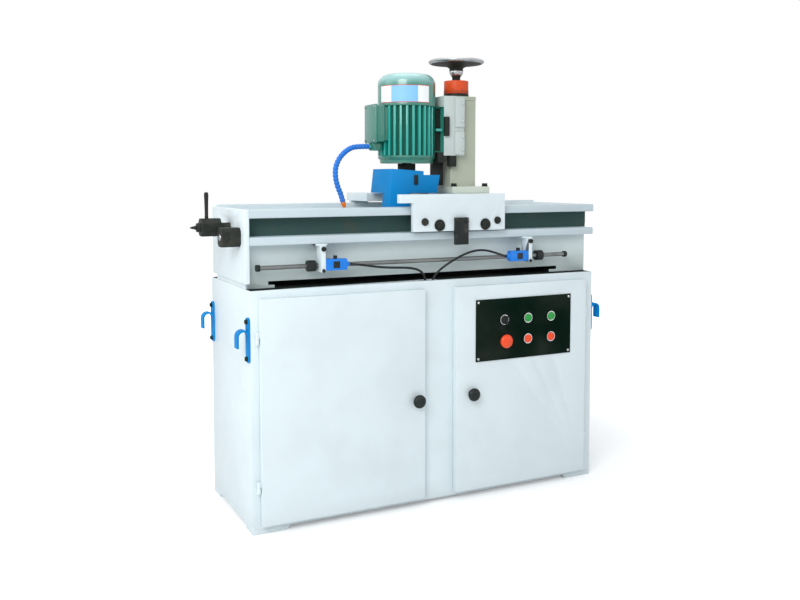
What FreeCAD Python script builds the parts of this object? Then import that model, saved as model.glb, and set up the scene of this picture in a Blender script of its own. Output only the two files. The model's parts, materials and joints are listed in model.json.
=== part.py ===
import FreeCAD, Part
import math
import os
import re

# Driving dimensions in millimetres: X along the bed, Y to the rear, Z up from the floor
SIZES = {
    # overrun of cutting tools past a face
    "over": 1,
    # cabinet and feet
    "cab_w": 1100, "cab_d": 380, "cab_top": 645, "sheet_t": 3,
    "foot_h": 12, "foot_len": 100, "foot_wid": 60, "foot_chamfer": 9,
    "bolt_in_x": 50, "bolt_in_y": 30, "bolt_r": 7,
    # doors, hinges and pull knobs
    "door_t": 18, "door_gap": 1, "door_wall": 2, "door_low": 25, "door_high": 624, "door_lap": 20,
    "left_edge": 21, "left_meet": 49, "right_edge": 37, "right_meet": 51,
    "hinge_off": 6.5, "knuckle_r": 5, "knuckle_len": 16, "hinge_pin_r": 2.5, "pin_gap": 0.05,
    "axial_gap": 0.4, "hinge_low": 112, "hinge_up": 505, "leaf_half": 4,
    "knob_r": 19, "knob_len": 18, "neck_r": 8, "neck_len": 8, "knob_inset": 26, "right_knob_inset": 52,
    "knob_z": 311,
    # control panel
    "panel_inset": 65, "panel_w": 337, "panel_z": 402, "panel_h": 181, "panel_t": 3,
    "btn_col": 93, "btn_dx": 83, "btn_row": 57, "btn_dz": 62,
    "hole_r": 11.2, "bezel_r": 15, "bezel_len": 8, "barrel_r": 11, "barrel_len": 24, "seat_t": 1,
    "cap_r": 12, "cap_gap": 0.06, "stem_r": 6, "stem_out": 5, "btn_proud": 2.5, "btn_travel": 4,
    "stop_r": 20, "stop_len": 14, "stop_neck_r": 9, "stop_travel": 5, "rest_gap": 0.5,
    "grip_len": 12, "grip_w": 6,
    # side hooks
    "hook_t": 5, "hook_w": 28, "hook_z": 457, "hook_h": 117, "hook_reach": 30, "hook_arm": 80,
    "hook_drop": 44, "hook_in": 16, "hook_bolt_r": 5, "hook_bolt_h": 4, "hook_bolt_in": 10,
    # coolant tank and pump
    "tank_in": 60, "tank_w": 320, "tank_d": 280, "tank_h": 180, "tank_t": 3,
    "pump_plate": 130, "pump_plate_t": 5, "pump_r": 48, "pump_h": 150, "suction_r": 22, "suction_gap": 20,
    # bed frame, tray and rails
    "rim_z": 854, "rail_h": 93, "flange_t": 22, "web_t": 8, "rail_over": 3, "bed_low": 663,
    "bed_back": 40, "bed_short": 60, "bed_t": 4, "end_t": 12, "step_z": 654,
    "pad_left": 80, "pad_left_up": 62, "pad_right": 135, "pad_right_up": 108,
    "tray_t": 4, "rear_rise": 6, "back_rail_t": 12, "back_rail_h": 26, "back_rail_z": 836,
    # knife table
    "trun_y": -45, "trun_z": 804, "trun_r": 12, "bush_r": 18, "bush_len": 20, "run_gap": 0.05,
    "table_end": 18, "table_w": 56, "table_h": 30, "clamp_w": 40, "clamp_t": 10, "clamp_in": 30,
    "screw_r": 6, "screw_h": 6, "screw_n": 9,
    "hub_gap": 21, "hub_len": 67, "hub_w": 50, "hub_h": 48, "stub_len": 18, "stub_r": 6,
    "lever_off": 40, "lever_r": 5, "lever_len": 70, "lever_in": 10,
    "stop_x": 50, "stop_in": 57, "stop_w": 46, "stop_z": 757, "stop_h": 50, "stop_hole_r": 7,
    # travel-limit gear under the front rail
    "trip_z": 702, "trip_in": 14, "trip_r": 6, "trip_left_in": 30, "trip_right_in": 102,
    "collar_r": 15, "collar_len": 22, "collar_left_in": 172, "collar_right_in": 194,
    "knurl_r": 9, "knurl_len": 10,
    "hang_left_in": 191, "hang_right_in": 249, "hang_t": 12, "hang_low": 686, "hang_out": 16, "hang_deep": 22,
    "ear_len": 34, "ear_t": 5,
    "switch_len": 62, "switch_w": 22, "switch_h": 30, "switch_z": 690, "gland_r": 6.5, "gland_len": 9,
    "plunger_w": 9, "plunger_h": 9, "plunger_in": 14, "plunger_gap": 0.1, "plunger_travel": 4,
    "cable_r": 3.2, "slot_x": -20, "slot_w": 56, "slot_d": 24, "slot_y": 24,
    # feed drive behind the bed
    "chain_end": 80, "chain_z": 720, "chain_off": 18, "chain_w": 8, "chain_t": 7, "sprocket_r": 28,
    "chain_gap": 0.3, "drive_shaft_r": 8, "shaft_room": 0.5,
    "gear_w": 100, "gear_d": 86, "gear_h": 60, "feed_motor_r": 29, "feed_motor_len": 160,
    # carriage
    "sad_left": -129, "sad_right": 210, "sad_lip": 24, "sad_back": 30, "sad_low": 866, "sad_t": 24,
    "win_right": 78, "win_front": -192, "win_rear": 10, "apron_left": -90, "apron_t": 14, "apron_low": 786,
    "roller_r": 19.7, "roller_w": 18, "roller_in": 4, "roller_left": -7, "roller_right": 143, "roll_gap": 0.3,
    "axle_r": 7, "axle_head_r": 15, "axle_head": 5,
    "keeper_r": 18.4, "keeper_left": -54, "keeper_right": 184, "keeper_head_r": 9.5,
    "shoe_gap": 0.2, "shoe_in": 1, "shoe_len": 60, "dog_x": 60, "dog_w": 40,
    "strike_x": 60, "strike_w": 43, "strike_t": 12, "strike_low": 747, "strike_high": 824,
    # column and handwheel
    "col_x": 128, "col_y": -70, "col_w": 86, "col_d": 86, "col_top": 1163, "col_t": 14,
    "base_left": 80, "base_w": 128, "base_d": 128, "base_t": 20, "base_bolt_r": 7, "base_bolt_in": 11,
    "base_bolt_h": 8,
    "nut_slot_w": 30, "slot_low": 1000, "slot_high": 1140, "cap_t": 12, "index_r": 37.5, "index_t": 9,
    "lead_r": 10, "lead_low": 940, "dial_r": 36.5, "dial_t": 38, "wheel_hub_r": 18, "wheel_hub_h": 46,
    "hw_r": 77.5, "hw_tube": 5.5, "hw_rise": 56, "dish_t": 6, "dish_z": 26, "top_gap": 0.3,
    # grinding head
    "slide_gap": 0.2, "slide_t": 33, "slide_arm": 20, "slide_reach": 34, "slide_low": 1000, "slide_h": 172,
    "nut_z": 1070, "nut_h": 30, "nut_w": 26, "nut_over": 16,
    "mot_x": -38, "mot_y": -70, "mot_r": 82.5, "core_r": 76, "bore_r": 66, "mot_low": 997, "mot_high": 1148,
    "fin_n": 28, "fin_t": 3, "mot_wall": 10, "shield_t": 19, "shield_r": 78, "cover_r": 84, "cover_h": 87,
    "cover_t": 2, "cover_dome": 14, "foot_w": 124, "foot_in": 60, "foot_low": 12, "cap_ring": 8,
    "rotor_r": 44, "stator_r": 45.5, "stator_in": 20, "shaft_r": 12, "shaft_low": 896, "shaft_high": 1212,
    "fan_r": 70, "fan_z": 1176, "fan_t": 6, "blade_h": 24, "blade_t": 3, "blade_n": 7, "fan_hub_r": 20,
    "box_out": 114, "box_w": 70, "box_low": 1037, "box_high": 1141, "box_seat": 84, "box_pad": 5,
    "hub_r": 26, "hub_low": 930, "wheel_r": 62, "wheel_low": 882, "wheel_rim": 22, "wheel_back": 16,
    "guard_left": -128, "guard_right": 37, "guard_front": -136, "guard_rear": -4, "guard_low": 892,
    "guard_top": 962, "guard_top2": 944, "guard_step": -16, "guard_t": 2.5,
    "skirt_low": 848, "skirt_right": -60, "skirt_rear": -88,
    "guard_hole": 31, "arm_t": 20, "arm_w": 46, "arm_drop": 30, "latch_x": -42, "latch_w": 12, "latch_h": 28, "latch_t": 4,
    # coolant hose
    "manifold_x": -152, "manifold_w": 30, "manifold_h": 24, "arc_share": 0.45,
    "hose_r": 7.5, "hose_neck": 5.8, "hose_bore": 3.5, "hose_pitch": 10,
    "rib_rise": 0.2, "rib_end": 0.7, "rib_fall": 0.9,
    "nozzle_r": 6, "nozzle_tip": 3.5, "nozzle_len": 18, "nozzle_wall": 1,
}

# Places that follow from the sizes above
PLACES = {
    "lever_x": "hub_x-lever_off",
    "hub_x": "-cab_w/2-end_t-hub_gap",
    "stop_y": "-cab_d/2+stop_in",
    "trip_left": "-cab_w/2+trip_left_in",
    "trip_right": "cab_w/2-trip_right_in",
    "collar_left": "-cab_w/2+collar_left_in",
    "collar_right": "cab_w/2-collar_right_in",
    "hang_left": "-cab_w/2+hang_left_in",
    "hang_right": "cab_w/2-hang_right_in",
    "hang_front": "-cab_d/2-hang_out",
    "hang_back": "-cab_d/2+hang_deep",
    "chain_x": "cab_w/2-chain_end",
    "chain_y": "cab_d/2-bed_short+chain_off",
    "sad_front": "-cab_d/2-sad_lip",
    "sad_rear": "cab_d/2-bed_short+sad_back",
    "cover_top": "mot_high+cover_h",
    "hook_y": "cab_d/2-hook_in",
}

doc = FreeCAD.newDocument("WetGrindingSharpener")
sheet = doc.addObject("Spreadsheet::Sheet", "Dims")
for row, (alias, value) in enumerate(SIZES.items(), start=1):
    sheet.set("A%d" % row, alias)
    sheet.set("B%d" % row, str(value))
    sheet.setAlias("B%d" % row, alias)
doc.recompute()

NODES = []
TURN = {
    "X": FreeCAD.Rotation(FreeCAD.Vector(0, 1, 0), 90),
    "Y": FreeCAD.Rotation(FreeCAD.Vector(1, 0, 0), -90),
    "Z": FreeCAD.Rotation(),
}


# Expressions and primitives

def link(expr):
    text = str(expr)
    for name, formula in PLACES.items():
        text = re.sub(r"\b%s\b" % name, "(%s)" % formula, text)
    return re.sub(r"[a-z][a-z0-9_]*", lambda m: "Dims." * (m.group(0) in SIZES) + m.group(0), text)


def num(expr):
    return float(sheet.evalExpression(link(expr)))


def bind(obj, **props):
    for prop, expr in props.items():
        obj.setExpression(prop.replace("_", "."), link(expr))
    return obj


def place(obj, x, y, z):
    return bind(obj, Placement_Base_x=x, Placement_Base_y=y, Placement_Base_z=z)


def slab(x0, x1, y0, y1, z0, z1):
    obj = doc.addObject("Part::Box", "Slab")
    bind(obj, Length="(%s)-(%s)" % (x1, x0), Width="(%s)-(%s)" % (y1, y0), Height="(%s)-(%s)" % (z1, z0))
    return place(obj, x0, y0, z0)


def cyl(axis, x, y, z, radius, length):
    obj = doc.addObject("Part::Cylinder", "Cylinder")
    obj.Placement = FreeCAD.Placement(FreeCAD.Vector(), TURN[axis])
    bind(obj, Radius=radius, Height=length)
    return place(obj, x, y, z)


def cone(axis, x, y, z, radius1, radius2, length):
    obj = doc.addObject("Part::Cone", "Cone")
    obj.Placement = FreeCAD.Placement(FreeCAD.Vector(), TURN[axis])
    bind(obj, Radius1=radius1, Radius2=radius2, Height=length)
    return place(obj, x, y, z)


def fuse(*objs):
    if len(objs) == 1:
        return objs[0]
    obj = doc.addObject("Part::MultiFuse", "Fuse")
    obj.Shapes = list(objs)
    obj.Refine = True
    return obj


def cut(base, *tools):
    obj = doc.addObject("Part::Cut", "Cut")
    obj.Base = base
    obj.Tool = fuse(*tools)
    obj.Refine = True
    return obj


def group(*objs):
    obj = doc.addObject("Part::Compound", "Group")
    obj.Links = list(objs)
    return obj


def shaped(shape):
    obj = doc.addObject("Part::Feature", "Shaped")
    obj.Shape = shape
    return obj


def node(label, obj):
    obj.Label = label
    NODES.append(obj)
    return obj


def tube(axis, x, y, z, outer, inner, length):
    return cut(cyl(axis, x, y, z, outer, length), cyl(axis, x, y, z, inner, length))


# Shared planes
LEFT = "-cab_w/2"
RIGHT = "cab_w/2"
FRONT = "-cab_d/2"
REAR = "cab_d/2"
DOOR_BACK = "-cab_d/2-door_gap"
DOOR_FACE = "-cab_d/2-door_gap-door_t"
PANEL_FACE = "-cab_d/2-door_gap-door_t-panel_t"
BED_FRONT = "-cab_d/2+bed_back"
BED_REAR = "cab_d/2-bed_short"
RAIL_LOW = "rim_z-rail_h"
TRAY_FRONT = "-cab_d/2+bed_back+web_t"
LEFT_DOOR = ("-cab_w/2+left_edge", "-left_meet")
RIGHT_DOOR = ("right_meet", "cab_w/2-right_edge")


# Cabinet shell with door openings, floor holes and the cable slot in its top
def cabinet():
    shell = slab(LEFT, RIGHT, FRONT, REAR, "foot_h", "cab_top")
    room = slab(LEFT + "+sheet_t", RIGHT + "-sheet_t", FRONT + "+sheet_t", REAR + "-sheet_t",
                "foot_h+sheet_t", "cab_top-sheet_t")
    tools = [room]
    for low, high in (LEFT_DOOR, RIGHT_DOOR):
        tools.append(slab(low + "+door_lap", high + "-door_lap", FRONT + "-over", FRONT + "+sheet_t+over",
                          "door_low+door_lap", "door_high-door_lap"))
    tools.append(slab("slot_x-slot_w/2", "slot_x+slot_w/2", FRONT + "+slot_y-slot_d/2",
                      FRONT + "+slot_y+slot_d/2", "cab_top-sheet_t-over", "cab_top+over"))
    feet = []
    for sx in (-1, 1):
        for sy in (-1, 1):
            x = "%d*(cab_w/2-bolt_in_x)" % sx
            y = "%d*(cab_d/2-bolt_in_y)" % sy
            tools.append(cyl("Z", x, y, "foot_h-over", "bolt_r", "sheet_t+2*over"))
            feet.append(foot(sx, sy, x, y))
    node("cabinet_shell", cut(shell, *tools))
    node("foot_plates", group(*feet))


# One foot plate with a bolt hole and a chamfered inner toe
def foot(sx, sy, x, y):
    x0 = "-cab_w/2" if sx < 0 else "cab_w/2-foot_len"
    y0 = "-cab_d/2" if sy < 0 else "cab_d/2-foot_wid"
    plate = slab(x0, x0 + "+foot_len", y0, y0 + "+foot_wid", "0", "foot_h")
    corner = "-cab_w/2+foot_len-foot_chamfer" if sx < 0 else "cab_w/2-foot_len"
    hole = cyl("Z", x, y, "-over", "bolt_r", "foot_h+2*over")
    return cut(plate, hole, toe_cutter(sx, corner, y0))


# Triangular prism that bevels a foot's inner lower edge
def toe_cutter(sx, corner, y0):
    obj = doc.addObject("Part::Wedge", "Toe")
    flat = "0" if sx > 0 else "foot_chamfer"
    bind(obj, Xmin=0, Xmax="foot_chamfer", Ymin=0, Ymax="foot_chamfer", Zmin=0, Zmax="foot_wid")
    bind(obj, X2min=flat, X2max=flat, Z2min=0, Z2max="foot_wid")
    obj.Placement = FreeCAD.Placement(FreeCAD.Vector(), FreeCAD.Rotation(FreeCAD.Vector(1, 0, 0), 90))
    return place(obj, corner, y0 + "+foot_wid", "0")


# Doors as folded pans with their moving hinge knuckles and pull knobs
def door(name, low, high, hinge_x, edge, knob_x, holes):
    pan = slab(low, high, DOOR_FACE, DOOR_BACK, "door_low", "door_high")
    hollow = slab(low + "+door_wall", high + "-door_wall", DOOR_FACE + "+door_wall", DOOR_BACK + "+over",
                  "door_low+door_wall", "door_high-door_wall")
    leaves = []
    bores = []
    for z in ("hinge_low", "hinge_up"):
        base = z + "+knuckle_len+axial_gap"
        low_x, high_x = sorted((hinge_x, edge), key=num)
        leaves.append(cyl("Z", hinge_x, HINGE_Y, base, "knuckle_r", "knuckle_len"))
        leaves.append(slab(low_x, high_x, HINGE_Y + "-door_wall", HINGE_Y + "+door_wall",
                           base, base + "+knuckle_len"))
        bores.append(cyl("Z", hinge_x, HINGE_Y, base + "-over", "hinge_pin_r+pin_gap", "knuckle_len+2*over"))
    node(name, cut(fuse(cut(pan, hollow), *leaves), *(bores + holes)))
    knob = fuse(cyl("Y", knob_x, DOOR_FACE + "-neck_len", "knob_z", "neck_r", "neck_len"),
                cyl("Y", knob_x, DOOR_FACE + "-neck_len-knob_len", "knob_z", "knob_r", "knob_len"))
    node(name.replace("door", "knob"), knob)


HINGE_Y = "-cab_d/2-door_gap-door_t/2"
LEFT_HINGE = LEFT_DOOR[0] + "-hinge_off"
RIGHT_HINGE = RIGHT_DOOR[1] + "+hinge_off"


# Fixed hinge halves: knuckle, leaf to the cabinet front and the upright pin
def hinges():
    parts = []
    for x in (LEFT_HINGE, RIGHT_HINGE):
        for z in ("hinge_low", "hinge_up"):
            knuckle = cyl("Z", x, HINGE_Y, z, "knuckle_r", "knuckle_len")
            leaf = slab(x + "-leaf_half", x + "+leaf_half", HINGE_Y, FRONT, z, z + "+knuckle_len")
            pin = cyl("Z", x, HINGE_Y, z, "hinge_pin_r", "2*knuckle_len+axial_gap")
            parts.append(fuse(knuckle, leaf, pin))
    node("door_hinges", group(*parts))


# Control positions on the panel: column 0 to 2 from the left, row 0 the lower one
PANEL_LEFT = RIGHT_DOOR[0] + "+panel_inset"


def spot(col, line):
    return PANEL_LEFT + "+btn_col+%d*btn_dx" % col, "panel_z+btn_row+%d*btn_dz" % line


SPOTS = [(col, line) for line in (0, 1) for col in (0, 1, 2)]


def doors():
    holes = [cyl("Y", *at_face(col, line, DOOR_FACE + "-over"), "hole_r", "door_t") for col, line in SPOTS]
    door("left_door", *LEFT_DOOR, LEFT_HINGE, LEFT_DOOR[0] + "+door_wall", LEFT_DOOR[1] + "-knob_inset", [])
    door("right_door", *RIGHT_DOOR, RIGHT_HINGE, RIGHT_DOOR[1] + "-door_wall",
         RIGHT_DOOR[0] + "+right_knob_inset", holes)


def at_face(col, line, y):
    x, z = spot(col, line)
    return x, y, z


# Panel plate and the chrome bezels with their threaded barrels
def panel():
    plate = slab(PANEL_LEFT, PANEL_LEFT + "+panel_w", PANEL_FACE, DOOR_FACE, "panel_z", "panel_z+panel_h")
    holes = [cyl("Y", *at_face(col, line, PANEL_FACE + "-over"), "hole_r", "panel_t+2*over")
             for col, line in SPOTS]
    node("control_panel", cut(plate, *holes))
    bezels = []
    for col, line in SPOTS:
        front = at_face(col, line, PANEL_FACE + "-bezel_len")
        body = fuse(cyl("Y", *front, "bezel_r", "bezel_len"),
                    cyl("Y", *at_face(col, line, PANEL_FACE), "barrel_r", "barrel_len"))
        bezels.append(cut(body, cyl("Y", *front, "cap_r+cap_gap", "bezel_len-seat_t"),
                          cyl("Y", *front, "stem_r+cap_gap", "bezel_len+barrel_len+over")))
    node("button_bezels", group(*bezels))


# Stem behind a control, from the given plane to just past its barrel
def stem(col, line, start):
    end = PANEL_FACE + "+barrel_len+stem_out"
    return cyl("Y", *at_face(col, line, start), "stem_r", "(%s)-(%s)" % (end, start))


def push_button(name, col, line):
    face = PANEL_FACE + "-bezel_len-btn_proud"
    back = PANEL_FACE + "-seat_t-btn_travel-rest_gap"
    cap = cyl("Y", *at_face(col, line, face), "cap_r", "(%s)-(%s)" % (back, face))
    node(name, fuse(cap, stem(col, line, back)))


def controls():
    push_button("wheel_start_button", 1, 1)
    push_button("feed_start_button", 2, 1)
    push_button("wheel_stop_button", 1, 0)
    push_button("feed_stop_button", 2, 0)
    back = PANEL_FACE + "-bezel_len-stop_travel-rest_gap"
    deep = PANEL_FACE + "-seat_t-stop_travel-rest_gap"
    head = cyl("Y", *at_face(0, 0, back + "-stop_len"), "stop_r", "stop_len")
    neck = cyl("Y", *at_face(0, 0, back), "stop_neck_r", "(%s)-(%s)" % (deep, back))
    node("emergency_stop", fuse(head, neck, stem(0, 0, deep)))
    x, z = spot(0, 1)
    face = PANEL_FACE + "-bezel_len-btn_proud"
    seat = PANEL_FACE + "-seat_t-rest_gap"
    disc = cyl("Y", x, face, z, "cap_r", "(%s)-(%s)" % (seat, face))
    grip = slab(x + "-grip_w/2", x + "+grip_w/2", face + "-grip_len", face, z + "-cap_r", z + "+cap_r")
    node("selector_switch", fuse(disc, grip, stem(0, 1, seat)))


# Side hooks: back plate, arm and a down-turned outer leg
def hook(side, y):
    def span(a, b):
        if side > 0:
            return "cab_w/2+(%s)" % a, "cab_w/2+(%s)" % b
        return "-cab_w/2-(%s)" % b, "-cab_w/2-(%s)" % a
    width = (y + "-hook_w/2", y + "+hook_w/2")
    plate = slab(*span("0", "hook_t"), *width, "hook_z", "hook_z+hook_h")
    arm = slab(*span("0", "hook_reach"), *width, "hook_z+hook_arm", "hook_z+hook_arm+hook_t")
    leg = slab(*span("hook_reach-hook_t", "hook_reach"), *width, "hook_z+hook_arm-hook_drop",
               "hook_z+hook_arm")
    start = "cab_w/2+hook_t" if side > 0 else "-cab_w/2-hook_t-hook_bolt_h"
    bolts = [cyl("X", start, y, z, "hook_bolt_r", "hook_bolt_h")
             for z in ("hook_z+hook_bolt_in", "hook_z+hook_h-hook_bolt_in")]
    return fuse(plate, arm, leg), bolts


def hooks():
    pairs = [hook(side, y) for side in (-1, 1) for y in ("-hook_y", "hook_y")]
    node("tool_hooks", group(*[piece for body, bolts in pairs for piece in [body] + bolts]))


# Coolant tank on the cabinet floor with a pump hung from its rim
def coolant():
    floor = "foot_h+sheet_t"
    rim = floor + "+tank_h"
    x0 = LEFT + "+tank_in"
    outer = slab(x0, x0 + "+tank_w", "-tank_d/2", "tank_d/2", floor, rim)
    inner = slab(x0 + "+tank_t", x0 + "+tank_w-tank_t", "-tank_d/2+tank_t", "tank_d/2-tank_t",
                 floor + "+tank_t", rim + "+over")
    tank = cut(outer, inner)
    plate = slab(x0, x0 + "+pump_plate", "-tank_d/2", "tank_d/2", rim, rim + "+pump_plate_t")
    middle = x0 + "+pump_plate/2"
    motor = cyl("Z", middle, "0", rim + "+pump_plate_t", "pump_r", "pump_h")
    suction = cyl("Z", middle, "0", floor + "+tank_t+suction_gap", "suction_r", "tank_h-tank_t-suction_gap")
    node("coolant_unit", group(tank, fuse(plate, motor, suction)))


# Bed frame: box walls on stepped end pads, with the tall left end plate
def bed():
    body = slab(LEFT, RIGHT, BED_FRONT, BED_REAR, "bed_low", RAIL_LOW)
    room = slab(LEFT + "+bed_t", RIGHT + "-bed_t", BED_FRONT + "+bed_t", BED_REAR + "-bed_t",
                "bed_low-over", RAIL_LOW + "+over")
    pads = [slab(LEFT, LEFT + "+pad_left", BED_FRONT, BED_REAR, "cab_top", "step_z"),
            slab(LEFT, LEFT + "+pad_left_up", BED_FRONT, BED_REAR, "step_z", "bed_low"),
            slab(RIGHT + "-pad_right", RIGHT, BED_FRONT, BED_REAR, "cab_top", "step_z"),
            slab(RIGHT + "-pad_right_up", RIGHT, BED_FRONT, BED_REAR, "step_z", "bed_low")]
    end = slab(LEFT + "-end_t", LEFT, FRONT, BED_REAR, "bed_low", "rim_z")
    idler = cyl("Y", "-chain_x", BED_REAR + "-bed_t", "chain_z", "drive_shaft_r",
                "chain_y+chain_w-(%s)+bed_t" % BED_REAR)
    holes = [cyl("X", LEFT + "-end_t-over", "trun_y", "trun_z", "bush_r", "end_t+2*over"),
             cyl("Y", "chain_x", BED_REAR + "-bed_t-over", "chain_z", "drive_shaft_r+shaft_room",
                 "bed_t+2*over")]
    node("bed_frame", cut(fuse(cut(body, room), idler, end, *pads), *holes))


# Coolant tray with a raised rear wall
def tray():
    outer = slab(LEFT, RIGHT, TRAY_FRONT, BED_REAR, RAIL_LOW, "rim_z+rear_rise")
    inner = slab(LEFT + "+tray_t", RIGHT + "-tray_t", TRAY_FRONT + "+tray_t", BED_REAR + "-tray_t",
                 RAIL_LOW + "+tray_t", "rim_z+rear_rise+over")
    trim = slab(LEFT + "-over", RIGHT + "+over", TRAY_FRONT + "-over", BED_REAR + "-tray_t", "rim_z",
                "rim_z+rear_rise+over")
    hole = cyl("X", LEFT + "-over", "trun_y", "trun_z", "bush_r", "cab_w+2*over")
    node("coolant_tray", cut(outer, inner, trim, hole))
    bushes = [tube("X", LEFT + "-end_t", "trun_y", "trun_z", "bush_r", "trun_r+run_gap", "bush_len"),
              tube("X", RIGHT + "+tray_t-bush_len", "trun_y", "trun_z", "bush_r", "trun_r+run_gap",
                   "bush_len")]
    node("trunnion_bushes", group(*bushes))


# Front channel rail and the flat bar behind the tray
def rails():
    web = slab(LEFT, RIGHT + "+rail_over", BED_FRONT, TRAY_FRONT, RAIL_LOW, "rim_z")
    lower = slab(LEFT, RIGHT + "+rail_over", FRONT, BED_FRONT, RAIL_LOW, RAIL_LOW + "+flange_t")
    upper = slab(LEFT, RIGHT + "+rail_over", FRONT, BED_FRONT, "rim_z-flange_t", "rim_z")
    node("front_rail", fuse(web, lower, upper))
    node("rear_rail", slab(LEFT, RIGHT, BED_REAR, BED_REAR + "+back_rail_t", "back_rail_z-back_rail_h",
                           "back_rail_z"))


# Travel-limit gear: rod with collars, hanging brackets, switches and their plungers
ROD_Y = FRONT + "+trip_in"


def trip_gear():
    rod = [cyl("X", "trip_left", ROD_Y, "trip_z", "trip_r", "trip_right-trip_left"),
           cyl("X", "trip_left-knurl_len", ROD_Y, "trip_z", "knurl_r", "knurl_len"),
           cyl("X", "trip_right", ROD_Y, "trip_z", "knurl_r", "knurl_len")]
    collars = [tube("X", x + "-collar_len/2", ROD_Y, "trip_z", "collar_r", "trip_r", "collar_len")
               for x in ("collar_left", "collar_right")]
    node("trip_rod", group(fuse(*rod), hanger("hang_left"), hanger("hang_right"), *collars))
    limit_switch("left", "hang_left+hang_t", 1)
    limit_switch("right", "hang_right", -1)


def hanger(x):
    plate = slab(x, x + "+hang_t", "hang_front", "hang_back", "hang_low", RAIL_LOW)
    ear = slab(x + "+hang_t/2-ear_len/2", x + "+hang_t/2+ear_len/2", FRONT, "hang_back",
               RAIL_LOW + "-ear_t", RAIL_LOW)
    return cut(fuse(plate, ear), cyl("X", x + "-over", ROD_Y, "trip_z", "trip_r", "hang_t+2*over"))


# A switch box beside its bracket, with the gland on its far end and a plunger on top
def limit_switch(side, x, way):
    x0 = x if way > 0 else x + "-switch_len"
    far = x + "+switch_len" if way > 0 else x + "-switch_len-gland_len"
    y0, y1 = "hang_front", "hang_front+switch_w"
    top = "switch_z+switch_h"
    mid_y = "hang_front+switch_w/2"
    mid_x = x0 + "+switch_len/2"
    box = slab(x0, x0 + "+switch_len", y0, y1, "switch_z", top)
    gland = cyl("X", far, mid_y, "switch_z+switch_h/2", "gland_r", "gland_len")
    half = "(plunger_w/2+plunger_gap)"
    well = slab(mid_x + "-" + half, mid_x + "+" + half, mid_y + "-" + half, mid_y + "+" + half,
                top + "-plunger_in-plunger_travel-rest_gap", top + "+over")
    node(side + "_limit_switch", cut(fuse(box, gland), well))
    node(side + "_plunger", slab(mid_x + "-plunger_w/2", mid_x + "+plunger_w/2", mid_y + "-plunger_w/2",
                                 mid_y + "+plunger_w/2", top + "-plunger_in", top + "+plunger_h"))


# Feed drive: gearmotor inside the bed, chain loop and two sprockets behind it
def stadium(radius, y, width):
    return fuse(slab("-chain_x", "chain_x", y, y + "+" + width, "chain_z-(%s)" % radius,
                     "chain_z+(%s)" % radius),
                cyl("Y", "-chain_x", y, "chain_z", radius, width),
                cyl("Y", "chain_x", y, "chain_z", radius, width))


def drive():
    inner = "sprocket_r+chain_gap"
    node("feed_chain", cut(stadium(inner + "+chain_t", "chain_y", "chain_w"),
                           stadium(inner, "chain_y-over", "chain_w+2*over")))
    inside = BED_REAR + "-bed_t"
    box = slab("chain_x-gear_w/2", "chain_x+gear_w/2", inside + "-gear_d", inside,
               "chain_z-gear_h/2", "chain_z+gear_h/2")
    motor = cyl("X", "chain_x-gear_w/2-feed_motor_len", inside + "-gear_d/2", "chain_z", "feed_motor_r",
                "feed_motor_len")
    bore = cyl("Y", "chain_x", inside + "-gear_d/2", "chain_z", "drive_shaft_r+run_gap", "gear_d/2+over")
    node("feed_gearmotor", cut(fuse(box, motor), bore))
    start = inside + "-gear_d/2+axial_gap"
    shaft = cyl("Y", "chain_x", start, "chain_z", "drive_shaft_r", "chain_y+chain_w-(%s)" % start)
    node("drive_sprocket", fuse(shaft, cyl("Y", "chain_x", "chain_y", "chain_z", "sprocket_r", "chain_w")))
    node("idler_sprocket", tube("Y", "-chain_x", "chain_y", "chain_z", "sprocket_r", "drive_shaft_r+run_gap",
                                "chain_w"))


# Tilting knife table on trunnions, with its clamp bar, screws, outer hub and lever
def knife_table():
    left_end = LEFT + "+tray_t+table_end"
    right_end = RIGHT + "-tray_t-table_end"
    bar = slab(left_end, right_end, "trun_y-table_w/2", "trun_y+table_w/2", "trun_z-table_h/2",
               "trun_z+table_h/2")
    shaft = cyl("X", "hub_x-hub_len", "trun_y", "trun_z", "trun_r", RIGHT + "+tray_t-(hub_x-hub_len)")
    node("knife_table", fuse(bar, shaft))
    top = "trun_z+table_h/2"
    clamp = slab(left_end + "+clamp_in", right_end + "-clamp_in", "trun_y-clamp_w/2", "trun_y+clamp_w/2",
                 top, top + "+clamp_t")
    count = int(num("screw_n"))
    first = left_end + "+2*clamp_in"
    step = "(cab_w-2*tray_t-2*table_end-4*clamp_in)/(screw_n-1)"
    screws = [cyl("Z", first + "+%d*%s" % (i, step), "trun_y", top + "+clamp_t", "screw_r", "screw_h")
              for i in range(count)]
    node("knife_clamp", group(clamp, *screws))
    block = slab("hub_x-hub_len", "hub_x", "trun_y-hub_w/2", "trun_y+hub_w/2", "trun_z-hub_h/2",
                 "trun_z+hub_h/2")
    stub = cyl("X", "hub_x-hub_len-stub_len", "trun_y", "trun_z", "stub_r", "stub_len")
    seat = cyl("Z", "lever_x", "trun_y", "trun_z+hub_h/2-lever_in", "lever_r", "lever_in+over")
    shaft_hole = cyl("X", "hub_x-hub_len-over", "trun_y", "trun_z", "trun_r", "hub_len+2*over")
    node("trunnion_hub", group(cut(block, shaft_hole, seat), stub))
    node("table_lever", cyl("Z", "lever_x", "trun_y", "trun_z+hub_h/2-lever_in", "lever_r",
                            "lever_len+lever_in"))
    outer = LEFT + "-end_t"
    stop = slab(outer + "-stop_x", outer, "stop_y-stop_w/2", "stop_y+stop_w/2", "stop_z", "stop_z+stop_h")
    dimple = cyl("X", outer + "-stop_x-over", "stop_y", "stop_z+stop_h/2", "stop_hole_r", "stop_x/2")
    node("tilt_stop_block", cut(stop, dimple))


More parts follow.
